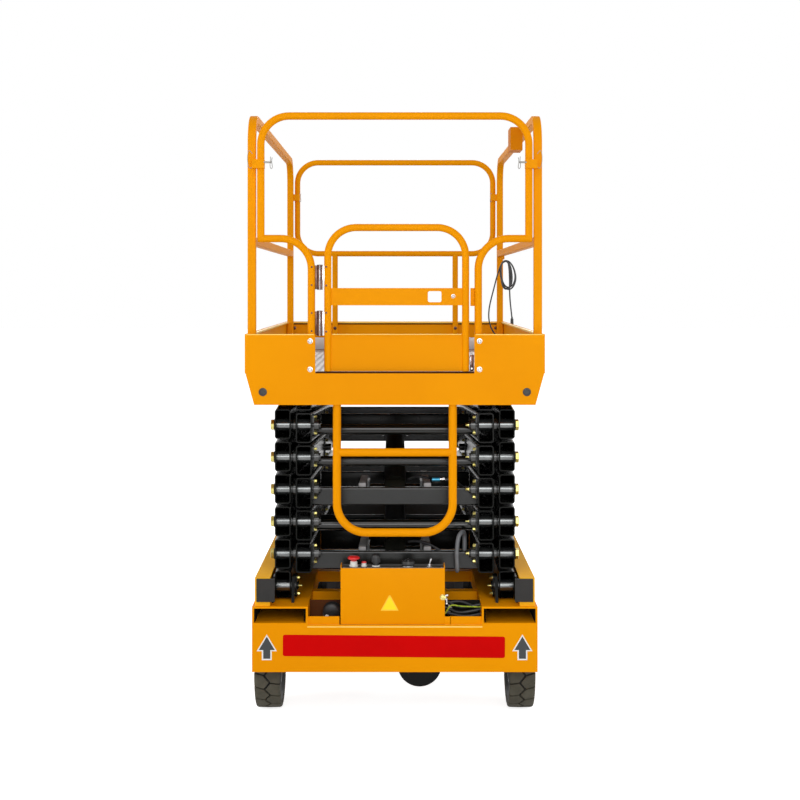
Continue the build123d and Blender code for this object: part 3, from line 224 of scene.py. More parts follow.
# tone, deep, mark and roughness of each finish, and what differs from plainLook
finishRows = {
    "orangePaint": ((240, 154, 0), (235, 148, 0), (230, 142, 0), 0.46,
        {"markShare": 0.15, "gloss": 0.04, "driftScale": 1.6, "grainScale": 520, "relief": 0.01}),
    "blackPaint": ((10, 11, 8), (6, 7, 5), (28, 25, 20), 0.26,
        {"markShare": 0.3, "gloss": 0.11, "driftScale": 4, "grainScale": 480, "relief": 0.06}),
    "capGrey": ((44, 42, 41), (37, 36, 35), (56, 53, 50), 0.5,
        {"markShare": 0.4, "gloss": 0.2, "driftScale": 9}),
    "railGrey": ((158, 156, 156), (132, 130, 130), (96, 92, 88), 0.46, {"markShare": 0.5, "driftScale": 14}),
    "brightSteel": ((205, 205, 206), (180, 180, 182), (150, 146, 142), 0.26,
        {"metal": 1, "stretch": (1, 1, 30), "grainScale": 90, "relief": 0.1}),
    "chromedSteel": ((220, 222, 226), (205, 208, 213), (190, 190, 192), 0.1,
        {"metal": 1, "roughSpread": 0.03, "relief": 0.02}),
    "yellowZinc": ((202, 192, 120), (168, 156, 88), (132, 150, 118), 0.3,
        {"metal": 1, "driftScale": 60, "markShare": 0.5}),
    "tyreRubber": ((86, 83, 71), (72, 69, 58), (104, 99, 85), 0.78,
        {"markShare": 0.4, "gloss": 0.3, "driftScale": 20, "grainScale": 700, "relief": 0.35}),
    "wallRubber": ((33, 32, 30), (24, 24, 23), (52, 49, 44), 0.7,
        {"markShare": 0.4, "gloss": 0.35, "driftScale": 16, "grainScale": 600, "relief": 0.25}),
    "rimGrey": ((150, 151, 152), (134, 135, 136), (98, 94, 88), 0.4, {"markShare": 0.3, "driftScale": 8}),
    "blackPlastic": ((36, 36, 37), (28, 28, 29), (52, 51, 50), 0.46,
        {"markShare": 0.3, "gloss": 0.45, "driftScale": 18, "grainScale": 900, "relief": 0.2}),
    "plugRubber": ((30, 30, 30), (20, 20, 20), (44, 43, 42), 0.4, {"driftScale": 30}),
    "cableRubber": ((44, 45, 46), (34, 34, 36), (70, 70, 70), 0.42,
        {"markShare": 0.25, "driftScale": 40, "grainScale": 800}),
    "treadMetal": ((166, 162, 161), (148, 144, 144), (126, 121, 120), 0.5,
        {"metal": 0.6, "driftScale": 5, "markShare": 0.25, "relief": 0.15}),
    "signRed": ((208, 0, 0), (200, 0, 0), (188, 4, 4), 0.5, {"gloss": 0.05, "driftScale": 4, "relief": 0.03}),
    "arrowGrey": ((62, 64, 66), (56, 58, 60), (74, 75, 76), 0.42, {"gloss": 0.3, "relief": 0.03}),
    "stickerWhite": ((238, 238, 236), (230, 230, 228), (214, 212, 206), 0.4, {"gloss": 0.3, "relief": 0.03}),
    "signYellow": ((255, 228, 30), (250, 220, 20), (238, 206, 20), 0.4, {"gloss": 0.25, "relief": 0.03}),
    "paleYellow": ((255, 206, 60), (252, 200, 50), (240, 190, 50), 0.4, {"gloss": 0.25, "relief": 0.03}),
    "knobRed": ((216, 24, 22), (200, 16, 16), (226, 60, 50), 0.3, {"driftScale": 30, "relief": 0.05}),
    "collarWhite": ((226, 226, 222), (212, 212, 208), (190, 188, 182), 0.4, {"driftScale": 30}),
    "panelMetal": ((150, 148, 145), (128, 126, 122), (104, 100, 96), 0.38,
        {"metal": 1, "stretch": (1, 24, 1), "grainScale": 120}),
    "valveBlue": ((70, 160, 190), (48, 132, 166), (110, 180, 200), 0.3, {"metal": 0.6, "driftScale": 30}),
    "hoseGrey": ((112, 114, 117), (94, 96, 99), (70, 70, 72), 0.45, {"driftScale": 24}),
    "wireGreen": ((190, 200, 40), (120, 160, 40), (70, 130, 50), 0.4, {"markStart": 0.5, "driftScale": 90}),
    # a paler, yellower orange: a painted highlight along lit folded edges
    "paintShine": ((255, 216, 104), (253, 204, 80), (248, 190, 60), 0.3,
        {"markShare": 0.3, "gloss": 0.4, "driftScale": 3, "relief": 0.03}),
    "hingeBrown": ((104, 76, 66), (72, 48, 42), (52, 34, 30), 0.3,
        {"metal": 0.8, "driftScale": 30, "markShare": 0.3}),
    "paleMetal": ((216, 218, 222), (196, 196, 200), (160, 156, 154), 0.4,
        {"metal": 0.25, "driftScale": 8, "markShare": 0.4}),
    "tieBlack": ((14, 15, 12), (9, 10, 8), (32, 29, 24), 0.22,
        {"markShare": 0.3, "gloss": 0.42, "driftScale": 4, "grainScale": 480, "relief": 0.05}),
    # a brighter, more metallic copy of the boss finish: painted highlight on bosses that the tube walls shade
    "bossShine": ((106, 108, 108), (90, 92, 92), (70, 70, 68), 0.2,
        {"metal": 0.85, "gloss": 1, "driftScale": 12, "markShare": 0.3}),
    "bossBlack": ((40, 42, 40), (28, 30, 28), (64, 62, 58), 0.26,
        {"markShare": 0.3, "gloss": 0.7, "driftScale": 12}),
    # brighter, yellower orange on the roller tracks: painted light on their tops, which the platform shades
    "trackPaintedLight": ((255, 190, 40), (252, 182, 30), (236, 160, 20), 0.5,
        {"markShare": 0.3, "gloss": 0.02, "driftScale": 3, "relief": 0.05}),
    # deeper orange on the control holder: painted shade
    "paintedShadeOrange": ((222, 134, 0), (212, 124, 0), (200, 112, 0), 0.5,
        {"markShare": 0.3, "gloss": 0.04, "driftScale": 3, "relief": 0.05}),
    # near black: the lift barrels' own black, and painted shade in the pocket sleeves and behind the control
    # box
    "darkInside": ((26, 25, 18), (15, 15, 11), (46, 40, 28), 0.8,
        {"markShare": 0.3, "gloss": 0.1, "driftScale": 12}),
    # dark brown: painted shadow, on the sill under the gate, under the rear board lip and behind the control
    # box
    "brownShade": ((78, 42, 16), (52, 28, 12), (104, 62, 30), 0.75,
        {"markShare": 0.3, "gloss": 0.1, "driftScale": 9}),
}
finishes = {name: makeFinish(name, *row) for name, row in finishRows.items()}
# each slot's finishes; a solid takes the first
slotFinishes = {
    "orange_paint": "orangePaint",
    "black_paint": "blackPaint bossBlack bossShine tieBlack darkInside brownShade",
    "grey_paint": "capGrey railGrey rimGrey",
    "bright_steel": "brightSteel yellowZinc treadMetal panelMetal hingeBrown paleMetal valveBlue",
    "chromed_steel": "chromedSteel",
    "tyre_rubber": "tyreRubber wallRubber",
    "black_plastic": "blackPlastic",
    "cable_rubber": "cableRubber plugRubber hoseGrey",
}
# nodes that look different from the rest of their slot; the roller tracks' brighter orange is painted light
# and the control holder's deeper orange painted shade
nodeLooks = {
    "inner_ties": "tieBlack", "lift_barrel": "darkInside", "roller_tracks": "trackPaintedLight",
    "control_holder": "paintedShadeOrange",
}
for part in frame["record"]["subparts"]:
    node = nodes[part["node"]]
    chosen = slotFinishes[part["material_slot"]].split()[0]
    if part["node"].endswith("_rim"):
        chosen = "rimGrey"
    for start, look in nodeLooks.items():
        if part["node"].startswith(start):
            chosen = look
    for materialSlot in node.material_slots:
        materialSlot.material = finishes[chosen]
print("finishes made:", len(finishes))


# ---- mesh helpers ----
def placePiece(name, data, body):
    piece = bpy.data.objects.new(name, data)
    scene.collection.objects.link(piece)
    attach(piece, body)
    return piece


def finishPiece(bm, name, finish, body, smoothBelow=38, replaced=()):
    # finish is one name or several; faces carry the index of theirs
    bmesh.ops.recalc_face_normals(bm, faces=bm.faces)
    limit = math.radians(smoothBelow)
    for face in bm.faces:
        face.smooth = True
    for edge in bm.edges:
        edge.smooth = len(edge.link_faces) == 2 and edge.calc_face_angle(0) < limit
    bm.transform(Matrix.Scale(metresPerMm, 4))
    mesh = bpy.data.meshes.new(name)
    bm.to_mesh(mesh)
    bm.free()
    names = [finish] if isinstance(finish, str) else finish
    for item in names:
        mesh.materials.append(finishes[item])
    piece = placePiece(name, mesh, body)
    if replaced:
        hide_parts(*replaced)
    return piece


def soften(bm, faces, amount, steps=2, sharperThan=25):
    # rounds the sharp edges of the faces just made, always in the same order
    limit = math.radians(sharperThan)
    edges = dict.fromkeys(edge for face in faces for edge in face.edges)
    sharp = [edge for edge in edges if len(edge.link_faces) == 2 and edge.calc_face_angle(0) > limit]
    made = bmesh.ops.bevel(bm, geom=sharp, offset=amount, segments=steps, affect="EDGES", profile=0.5)
    return made["faces"]


def prism(bm, outline, axis, low, high, rounding=0, steps=2, mark=0):
    # outline is flat: (y, z) along X, (x, z) along Y, or (x, y) along Z
    def place(point, along):
        first, second = point
        return {"X": (along, first, second), "Y": (first, along, second), "Z": (first, second, along)}[axis]
    lowRing = [bm.verts.new(place(point, low)) for point in outline]
    highRing = [bm.verts.new(place(point, high)) for point in outline]
    count = len(outline)
    faces = [bm.faces.new(lowRing), bm.faces.new(highRing[::-1])]
    for i in range(count):
        j = (i + 1) % count
        faces.append(bm.faces.new((lowRing[j], lowRing[i], highRing[i], highRing[j])))
    bmesh.ops.recalc_face_normals(bm, faces=faces)
    for face in faces:
        face.material_index = mark
    if rounding:
        for face in soften(bm, faces, rounding, steps):
            face.material_index = mark
    return faces


def reach(side, inner, outer):
    # from and to, across the machine, on one side of its middle
    return sorted((side * inner, side * outer))


def slab(bm, low, high, rounding=0, steps=2, mark=0):
    outline = [(low[0], low[1]), (high[0], low[1]), (high[0], high[1]), (low[0], high[1])]
    return prism(bm, outline, "Z", low[2], high[2], rounding, steps, mark)


def axisPlace(centre, axis):
    turn = Vector(axis).to_track_quat("Z", "Y").to_matrix().to_4x4()
    return Matrix.Translation(Vector(centre)) @ turn


def turned(bm, centre, axis, rows, sides=24, mark=0, spin=0):
    # rows are (distance along the axis, radius)
    place = axisPlace(centre, axis)
    rings = []
    for along, radius in rows:
        if radius < 0.001:
            rings.append([bm.verts.new(place @ Vector((0, 0, along)))])
            continue
        ring = []
        for i in range(sides):
            angle = spin + 2 * math.pi * i / sides
            spot = Vector((radius * math.cos(angle), radius * math.sin(angle), along))
            ring.append(bm.verts.new(place @ spot))
        rings.append(ring)
    for lower, upper in zip(rings, rings[1:]):
        for i in range(sides):
            j = (i + 1) % sides
            if len(lower) == 1 and len(upper) == 1:
                break
            if len(lower) == 1:
                face = bm.faces.new((lower[0], upper[j], upper[i]))
            elif len(upper) == 1:
                face = bm.faces.new((lower[i], lower[j], upper[0]))
            else:
                face = bm.faces.new((lower[i], lower[j], upper[j], upper[i]))
            face.material_index = mark


def hexNut(bm, centre, axis, flats, height, mark=0, spin=0):
    # a nut or bolt head with chamfered corners and a thread stub in its middle
    corner = flats / 2 / math.cos(math.pi / 6)
    rows = [(0, flats / 2 - 0.4), (height * 0.1, corner), (height * 0.86, corner), (height, flats / 2 - 0.4)]
    rows += [(height, flats * 0.28), (height * 1.06, flats * 0.26), (height * 1.06, 0)]
    turned(bm, centre, axis, rows, 6, mark, spin)


def domeBolt(bm, centre, axis, radius, height, mark=0):
    rows = ((0, 1.25), (0.18, 1.25), (0.22, 1), (0.6, 0.86), (0.88, 0.55), (1, 0.22), (1, 0))
    turned(bm, centre, axis, [(height * along, radius * wide) for along, wide in rows], 16, mark)


def wire(name, points, radius, finish, body, bends=8, roundness=3):
    # a wire, hose or rod along a smooth line
    data = bpy.data.curves.new(name, "CURVE")
    data.dimensions = "3D"
    data.bevel_depth = radius * metresPerMm
    data.bevel_resolution = roundness
    data.resolution_u = bends
    data.use_fill_caps = True
    line = data.splines.new("NURBS")
    line.points.add(len(points) - 1)
    for spot, point in zip(line.points, points):
        spot.co = (*(Vector(point) * metresPerMm), 1)
    line.order_u = 3
    line.use_endpoint_u = True
    data.materials.append(finishes[finish])
    return placePiece(name, data, body)


# ---- control cable, coiled on the right mid rail ----
cordValues = {
    "y": 870, "radius": 4, "turnPoints": 14, "turnPitch": 9.2, "hookX": 618,
    # across and up, from the gland to the hook
    "rise": (
        (618, 1573), (585, 1591), (548, 1635), (529, 1693), (530, 1755),
        (543, 1815), (559, 1875), (574, 1935), (588, 1980), (600, 2012),
    ),
    # half width, middle, top, bottom and squareness of each turn
    "turns": (
        (44, 643, 2034, 1866, 2),
        (31, 632, 2030, 1872, 3.2),
        (40, 641, 2033, 1878, 2.2),
        (27, 627, 2029, 1868, 3.6),
    ),
    # across, towards the gate from the middle, and up, from the hook to the plug
    "drop": (
        (636, 26, 2030), (643, 25, 1985), (646, 22, 1925), (646, 16, 1866),
        (649, 8, 1810), (655, 2, 1756), (661, 0, 1704),
    ),
}
cordY, turnPoints, hookX = (cordValues[key] for key in ("y", "turnPoints", "hookX"))
cordPoints = [(across, cordY, up) for across, up in cordValues["rise"]]
for turnIndex, (halfWide, middle, topUp, bottomUp, square) in enumerate(cordValues["turns"]):
    for step in range(turnPoints):
        share = step / turnPoints
        height = (1 - math.cos(2 * math.pi * share)) / 2
        bulge = (1 - abs(2 * height - 1) ** square) ** 0.5
        side = 1 if share < 0.5 else -1
        lean = hookX + (middle - hookX) * min(1, 0.35 + height)
        depth = cordY + 14 - cordValues["turnPitch"] * (turnIndex + share)
        cordPoints.append((lean + side * halfWide * bulge, depth, topUp + (bottomUp - topUp) * height))
cordPoints += [(across, cordY - depth, up) for across, depth, up in cordValues["drop"]]
controlCable = wire("controlCable", cordPoints, cordValues["radius"], "cableRubber", "platform", 10, 4)
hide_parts("cord_cable", "cord_coil")

bm = bmesh.new()
plugX, plugZ = 661, 1704
turned(bm, (plugX, cordY, plugZ), (0, 0, -1),
       [(-9, 4.6), (0, 5.2), (2, 8.2), (30, 9), (34, 9.6), (40, 9.6), (40, 6.5), (36, 6.5), (36, 0)], 20)
for angle in (0, 120, 240):
    ahead = math.radians(angle)
    turned(bm, (plugX + 3 * math.cos(ahead), cordY + 3 * math.sin(ahead), plugZ - 36), (0, 0, -1),
           [(0, 1), (3, 1), (3.6, 0)], 8)
cablePlug = finishPiece(bm, "cablePlug", "blackPlastic", "platform", replaced=["cord_plug"])
print("control cable laid:", len(cordPoints), "points")


# ---- wheels: tyres with block tread, wheel nuts and hub caps ----
tyreValues = {
    "radius": 200, "blocks": 19, "rows": 7,
    "firstGroove": 48,      # degrees from the ground, up the tyre's front
    "groove": 3.7,          # half the width of a groove
    "swing": 11,            # of the middle groove, to each side
    "climb": (3.5, -2.5),   # degrees that the cross grooves rise to the outer and inner edge
    # across and radius, from the bead to the middle
    "carcass": (
        (46, 102), (48.5, 107), (49, 114), (52, 118), (53.4, 124), (54, 140), (54.6, 154),
        (53.6, 166), (52, 176), (48, 183), (40, 186.5), (20, 188), (0, 188),
    ),
    # across and radius of a block's top over the shoulder, then of its foot
    "shoulder": (
        (45, 198.7, 45, 184), (51.5, 197.2, 49, 182), (54.9, 194.4, 50.5, 180), (56.5, 189, 51.5, 177),
        (56.3, 180, 52, 173), (55.6, 172, 52.6, 169),
    ),
}


def makeTyre(name, body, node, side, wheelX, axleY):
    bm = bmesh.new()
    full, groove, swing = tyreValues["radius"], tyreValues["groove"], tyreValues["swing"]
    half = [(-across, radius) for across, radius in tyreValues["carcass"]]
    profile = half + [(-across, radius) for across, radius in half[-2::-1]]
    turned(bm, (wheelX, axleY, full), (1, 0, 0), profile + [profile[0]], 96, mark=1)
    for wall in (-1, 1):          # a raised rib round each side wall
        ribRows = [(52.8, 128), (55.4, 129.5), (55.4, 133), (53.4, 134.5)]
        turned(bm, (wheelX, axleY, full), (wall, 0, 0), ribRows, 96, mark=1)
    blocks, rows, shoulder = tyreValues["blocks"], tyreValues["rows"], tyreValues["shoulder"]
    pitch = 360 / blocks
    gap = math.degrees(groove / full)
    for column, climb in zip((1, -1), tyreValues["climb"]):
        for index in range(blocks):
            start = tyreValues["firstGroove"] + pitch * (index + (0.5 if column < 0 else 0))
            tops, feet = [], []
            for row in range(rows):
                share = row / (rows - 1)
                nose = swing * (2 * abs(2 * share - 1) - 1) + groove * 1.15
                line = []
                for part in (0, 0.5):
                    across = nose + (shoulder[0][0] - nose) * part
                    crown = 200 - 1.3 * (across / shoulder[0][0]) ** 2
                    line.append((across, crown, across, 184))
                line += shoulder
                turnAt = start + gap + (pitch - 2 * gap) * share
                topRow, footRow = [], []
                for across, radius, footAcross, footRadius in line:
                    angle = math.radians(turnAt + climb * max(0, across - swing) / (56 - swing))
                    ahead, down = math.sin(angle), math.cos(angle)
                    for place, out, far in ((topRow, across, radius), (footRow, footAcross, footRadius)):
                        spot = (wheelX + side * column * out, axleY - far * ahead, full - far * down)
                        place.append(bm.verts.new(spot))
                tops.append(topRow)
                feet.append(footRow)
            faces = []
            wide = len(tops[0])
            for lower, upper in zip(tops, tops[1:]):
                for i in range(wide - 1):
                    faces.append(bm.faces.new((lower[i], lower[i + 1], upper[i + 1], upper[i])))
            rim = [(0, i) for i in range(wide)] + [(k, wide - 1) for k in range(1, rows)]
            rim += [(rows - 1, i) for i in range(wide - 2, -1, -1)] + [(k, 0) for k in range(rows - 2, 0, -1)]
            for (k, i), (m, j) in zip(rim, rim[1:] + rim[:1]):
                faces.append(bm.faces.new((tops[k][i], tops[m][j], feet[m][j], feet[k][i])))
            for foot in [vert for row in feet for vert in row]:
                if not foot.link_faces:
                    bm.verts.remove(foot)
    finishPiece(bm, name, ["tyreRubber", "wallRubber"], body, 30, replaced=[node])


def makeWheelFace(name, body, side, wheelX, axleY):
    # hub cap, five wheel nuts, a rolled rim edge and the valve, on the outer side
    bm = bmesh.new()
    full = tyreValues["radius"]
    face = wheelX + side * 16
    turned(bm, (face, axleY, full), (side, 0, 0),
           [(0, 47), (18, 46), (24, 40), (26, 24), (30, 20), (30, 0)], 32, mark=1)
    turned(bm, (wheelX + side * 43, axleY, full), (side, 0, 0),
           [(0, 101), (4, 103.5), (7.5, 103), (8, 100), (5, 97), (0, 96), (0, 101)], 48)
    for index in range(5):
        angle = 2 * math.pi * (index + 0.25) / 5
        spot = (face, axleY + 62 * math.cos(angle), full + 62 * math.sin(angle))
        turned(bm, spot, (side, 0, 0), [(0, 14), (3, 13), (3, 0)], 16, mark=1)
        hexNut(bm, (spot[0] + side * 3, spot[1], spot[2]), (side, 0, 0), 19, 14, mark=2)
        hole = angle + math.pi / 5
        ring = (face - side * 0.5, axleY + 70 * math.cos(hole), full + 70 * math.sin(hole))
        turned(bm, ring, (side, 0, 0), [(0, 8), (1.2, 8), (1.2, 0)], 16, mark=3)
    valve = [(0, 3.5), (22, 3), (22, 4), (30, 4), (30, 0)]
    turned(bm, (face, axleY + 20, full - 84), (side, 0.1, 0.2), valve, 10, mark=3)
    finishPiece(bm, name, ["rimGrey", "capGrey", "brightSteel", "blackPlastic"], body)


for axle in ("drive", "steer"):
    for hand, side in (("left", -1), ("right", 1)):
        low, high = nodeBox(f"{axle}_{hand}_tyre")
        middle = (low + high) / 2
        label, body = axle + hand.capitalize(), f"{axle}_wheel_{hand}"
        makeTyre(f"{label}Tyre", body, f"{axle}_{hand}_tyre", side, middle.x, middle.y)
        makeWheelFace(f"{label}WheelFace", body, side, middle.x, middle.y)
print("tyres and wheel faces made")

# ---- signs on the entry end: a blank red plate, two arrows and a bare yellow triangle ----
signValues = {
    "redCentre": (-4, 353.5), "redSize": (944, 91), "redCorner": 9, "redTilt": -0.5,
    "arrowXs": (-544, 542), "arrowLow": 301,
    "triangle": (-22, 503, 568, 77),
}


def roundedOutline(width, height, corner, steps=5):
    outline = []
    for cornerX, cornerY, start in ((1, 1, 0), (-1, 1, 90), (-1, -1, 180), (1, -1, 270)):
        for step in range(steps + 1):
            angle = math.radians(start + 90 * step / steps)
            outline.append((cornerX * (width / 2 - corner) + corner * math.cos(angle),
                            cornerY * (height / 2 - corner) + corner * math.sin(angle)))
    return outline


bm = bmesh.new()
tilt = math.radians(signValues["redTilt"])
centreX, centreZ = signValues["redCentre"]
redOutline = []
for x, z in roundedOutline(*signValues["redSize"], signValues["redCorner"]):
    redOutline.append((centreX + x * math.cos(tilt) - z * math.sin(tilt),
                       centreZ + x * math.sin(tilt) + z * math.cos(tilt)))
prism(bm, redOutline, "Y", frontY - 1, frontY)
finishPiece(bm, "blankRedPlate", "signRed", "chassis")

arrowShape = ((0, 94), (34, 37), (15, 37), (15, 0), (-15, 0), (-15, 37), (-34, 37))
arrowRim = ((0, 103), (43, 32), (21, 32), (21, -6), (-21, -6), (-21, 32), (-43, 32))
for side, arrowX in zip(("Left", "Right"), signValues["arrowXs"]):
    bm = bmesh.new()
    for shape, front, back, mark in ((arrowRim, 0.5, 0, 1), (arrowShape, 1, 0.4, 0)):
        outline = [(arrowX + x, signValues["arrowLow"] + z) for x, z in shape]
        prism(bm, outline, "Y", frontY - front, frontY - back, mark=mark)
    finishPiece(bm, f"liftArrow{side}", ["arrowGrey", "stickerWhite"], "chassis")

bm = bmesh.new()
triangleX, triangleLow, triangleHigh, triangleWide = signValues["triangle"]
for inset, thick, mark in ((0, 0.5, 1), (5, 0.8, 0)):
    half = triangleWide / 2 - inset * 1.6
    outline = [(triangleX - half, triangleLow + inset), (triangleX + half, triangleLow + inset),
               (triangleX + 3, triangleHigh - inset * 1.9), (triangleX - 3, triangleHigh - inset * 1.9)]
    prism(bm, outline, "Y", boxFront - thick, boxFront, mark=mark)
finishPiece(bm, "blankYellowTriangle", ["signYellow", "paleYellow"], "chassis")
print("blank signs placed")

# ---- lower control box: folded sheet with a metal panel, knobs, latch and cables ----
controlValues = {"wall": 3, "boxTop": 683, "knobY": -1146, "keyX": -81, "rotaryX": 57, "toggleX": 148}
wall, boxTop, knobY, keyX, rotaryX, toggleX = controlValues.values()
bm = bmesh.new()
slab(bm, (boxLow.x, boxLow.y, plateTop), (boxHigh.x, boxHigh.y, boxTop), 2.2, 3)
for wallX in (boxLow.x, boxHigh.x - wall):
    outline = [(boxLow.y + 3, boxTop - 4), (boxHigh.y - 2, boxTop - 4), (boxHigh.y - 2, boxTop + 8),
               (boxHigh.y - 30, boxTop + 12), (boxLow.y + 14, boxTop + 12), (boxLow.y + 3, boxTop + 4)]
    prism(bm, outline, "X", wallX, wallX + wall, 0.8)
finishPiece(bm, "controlBoxShell", "orangePaint", "chassis", replaced=["control_box"])
bm = bmesh.new()
slab(bm, (boxLow.x + 4, boxLow.y + 5, boxTop), (boxHigh.x - 4, boxHigh.y - 6, boxTop + 1.6), 0.5)
for boltX in (boxLow.x + 14, boxHigh.x - 14):
    for boltY in (boxLow.y + 14, boxHigh.y - 16):
        domeBolt(bm, (boltX, boltY, boxTop + 1.6), (0, 0, 1), 4, 2.4)
finishPiece(bm, "controlPanel", "panelMetal", "chassis")

# across, height above the panel, profile, sides and finish of each turned part
switchRows = (
    # stop button: white collar, red flared head
    (-176, 0, ((0, 19), (5, 19), (6, 16), (20, 15), (22, 12), (22, 0)), 28, 1),
    (-176, 22, ((0, 12), (2, 13), (6, 16), (8, 23), (10, 25.5), (14, 26), (17, 24.5), (20, 18), (21.4, 9),
                (21.6, 0)), 32, 0),
    # small push button
    (-132, 0, ((0, 13), (4, 13), (5, 11), (13, 10.5), (14, 9), (14, 0)), 24, 1),
    (-132, 14, ((0, 10.5), (4, 10.5), (6, 9.5), (7, 6), (7, 0)), 24, 0),
    # key switch with its pale collar and tall dark knob
    (keyX, 0, ((0, 18), (3, 18), (4, 15), (4, 0)), 24, 1),
    (keyX, 4, ((0, 13), (10, 13), (12, 17), (30, 18), (40, 16), (46, 12), (48, 6), (48, 0)), 24, 2),
    # rotary selector
    (rotaryX, 0, ((0, 27), (3, 27), (4, 24), (4, 0)), 32, 3),
    (rotaryX, 4, ((0, 22), (4, 29), (13, 29), (18, 27), (20, 22), (21, 12), (21, 0)), 32, 2),
    # collar of the toggle
    (toggleX, 0, ((0, 12), (3, 12), (4, 9), (9, 8.5), (9, 0)), 20, 3),
)
bm = bmesh.new()
panelZ = boxTop + 1.6
up = (0, 0, 1)
for x, rise, profile, sides, mark in switchRows:
    turned(bm, (x, knobY, panelZ + rise), up, profile, sides, mark)
for index in range(10):
    angle = 2 * math.pi * index / 10
    spot = (keyX + 17.4 * math.cos(angle), knobY + 17.4 * math.sin(angle), panelZ + 17)
    turned(bm, spot, up, [(0, 1.6), (20, 1.6), (21, 0)], 6, mark=2)
slab(bm, (rotaryX - 4, knobY - 27, panelZ + 21), (rotaryX + 4, knobY + 27, panelZ + 30), 2.5, mark=2)
lever = [(0, 3.2), (22, 4.6), (26, 4.2), (28, 0)]
turned(bm, (toggleX, knobY, panelZ + 9), (0.34, -0.2, 1), lever, 14, mark=3)
finishPiece(bm, "panelSwitches", ["knobRed", "collarWhite", "blackPlastic", "brightSteel"], "chassis",
            replaced=["control_knobs"])

# quarter-turn latch at the right edge of the box front: plated body, bright hook and staple
bm = bmesh.new()
latchX, latchZ = boxHigh.x - 9, 560
turned(bm, (latchX, boxFront, latchZ), (0, -1, 0), [(0, 12), (2, 12), (3, 10.5), (6, 10), (7, 0)], 24, mark=1)
slab(bm, (latchX - 9, boxFront - 9.5, latchZ - 4), (latchX + 14, boxFront - 5, latchZ + 5), 1.4, mark=1)
slab(bm, (latchX + 9, boxFront - 9, latchZ - 10), (latchX + 15, boxFront + 10, latchZ + 11), 2)
slab(bm, (latchX + 14, boxFront - 4, latchZ + 5), (latchX + 23, boxFront + 9, latchZ + 12), 2)
shank = [(0, 3), (16, 3), (17, 5), (24, 5), (24, 0)]
turned(bm, (latchX + 17, boxFront + 4, latchZ - 6), (0, 0, -1), shank, 12)
finishPiece(bm, "boxLatch", ["brightSteel", "yellowZinc"], "chassis")

# ---- behind the box: cover plates dark with painted shade, a horn, cables into the side beam ----
innerValues = {"halfX": 378, "plateY": -1052, "low": 250, "high": 520, "hornX": -272, "hornZ": 470}
halfX, plateY, low, high, hornX, hornZ = innerValues.values()
bm = bmesh.new()
for left, right, mark in ((-halfX, -boxHigh.x - 12, 0), (boxHigh.x - 20, halfX, 1)):
    slab(bm, (left, plateY, low), (right, plateY + 3, high), 0.8, mark=mark)
finishPiece(bm, "shadeCoverPlates", ["brownShade", "darkInside"], "chassis")
bm = bmesh.new()
dome = [(0, 0), (0, 30), (4, 38), (10, 41), (42, 41), (42, 0)]
turned(bm, (hornX, plateY - 42, hornZ), (0, 1, 0.1), dome, 32)
turned(bm, (hornX, plateY - 44, hornZ), (0, 1, 0.1), [(0, 0), (0, 12), (3, 12), (3, 0)], 20)
slab(bm, (hornX - 34, plateY - 30, hornZ - 50), (hornX + 34, plateY, hornZ - 34), 1.5)
finishPiece(bm, "hornHousing", "blackPlastic", "chassis")
bm = bmesh.new()
prism(bm, [(-306, 456), (-296, 470), (-284, 466), (-290, 455)], "Y", plateY - 60, plateY - 59)
prism(bm, [(224, 470), (232, 512), (246, 498), (240, 468)], "Y", plateY - 50, plateY - 49)
finishPiece(bm, "cableTags", "collarWhite", "chassis")
cableRows = (
    ("cableUpper", 6.5, (
        (212, -1118, 530), (226, -1112, 528), (262, -1100, 500), (312, -1090, 494), (374, -1084, 508))),
    ("cableMiddle", 7.5, (
        (212, -1128, 505), (232, -1124, 498), (268, -1112, 476), (322, -1100, 478), (374, -1096, 490))),
    ("cableLower", 6.5, (
        (212, -1136, 486), (236, -1132, 478), (282, -1120, 464), (330, -1112, 462), (374, -1106, 472))),
    ("cableBack", 6, (
        (212, -1100, 512), (242, -1094, 520), (290, -1080, 520), (336, -1074, 498), (374, -1070, 488))),
    ("earthWire", 3.2, (
        (212, -1142, 478), (222, -1142, 488), (236, -1138, 514), (256, -1130, 514), (282, -1122, 506),
        (374, -1104, 500))),
)
for cableName, radius, points in cableRows:
    wire(cableName, points, radius, "wireGreen" if cableName == "earthWire" else "cableRubber", "chassis")

# ---- fork pockets: a sleeve, left open, dark with painted shade, with its front floor still bright orange ----
pocketValues = {
    "inner": 385, "outer": 598, "low": 450, "high": 513.5,
    # dark is where the painted shade on the pockets' floor begins
    "front": -1186, "dark": -1106, "back": -700,
}
inner, outer, low, high, front, dark, back = pocketValues.values()
bm = bmesh.new()
for side in (-1, 1):
    left, right = reach(side, inner, outer)
    slab(bm, (left, front, high - 2), (right, back, high), 0.4)
    slab(bm, (left, front, low), (left + 2, back, high), 0.4)
    slab(bm, (right - 2, front, low), (right, back, high), 0.4)
    slab(bm, (left, dark, low - 2), (right, back, low), 0.4)
    slab(bm, (left, front, low - 3), (right, dark, low), 0.6, mark=1)
finishPiece(bm, "pocketShadeSleeves", ["darkInside", "orangePaint"], "chassis")

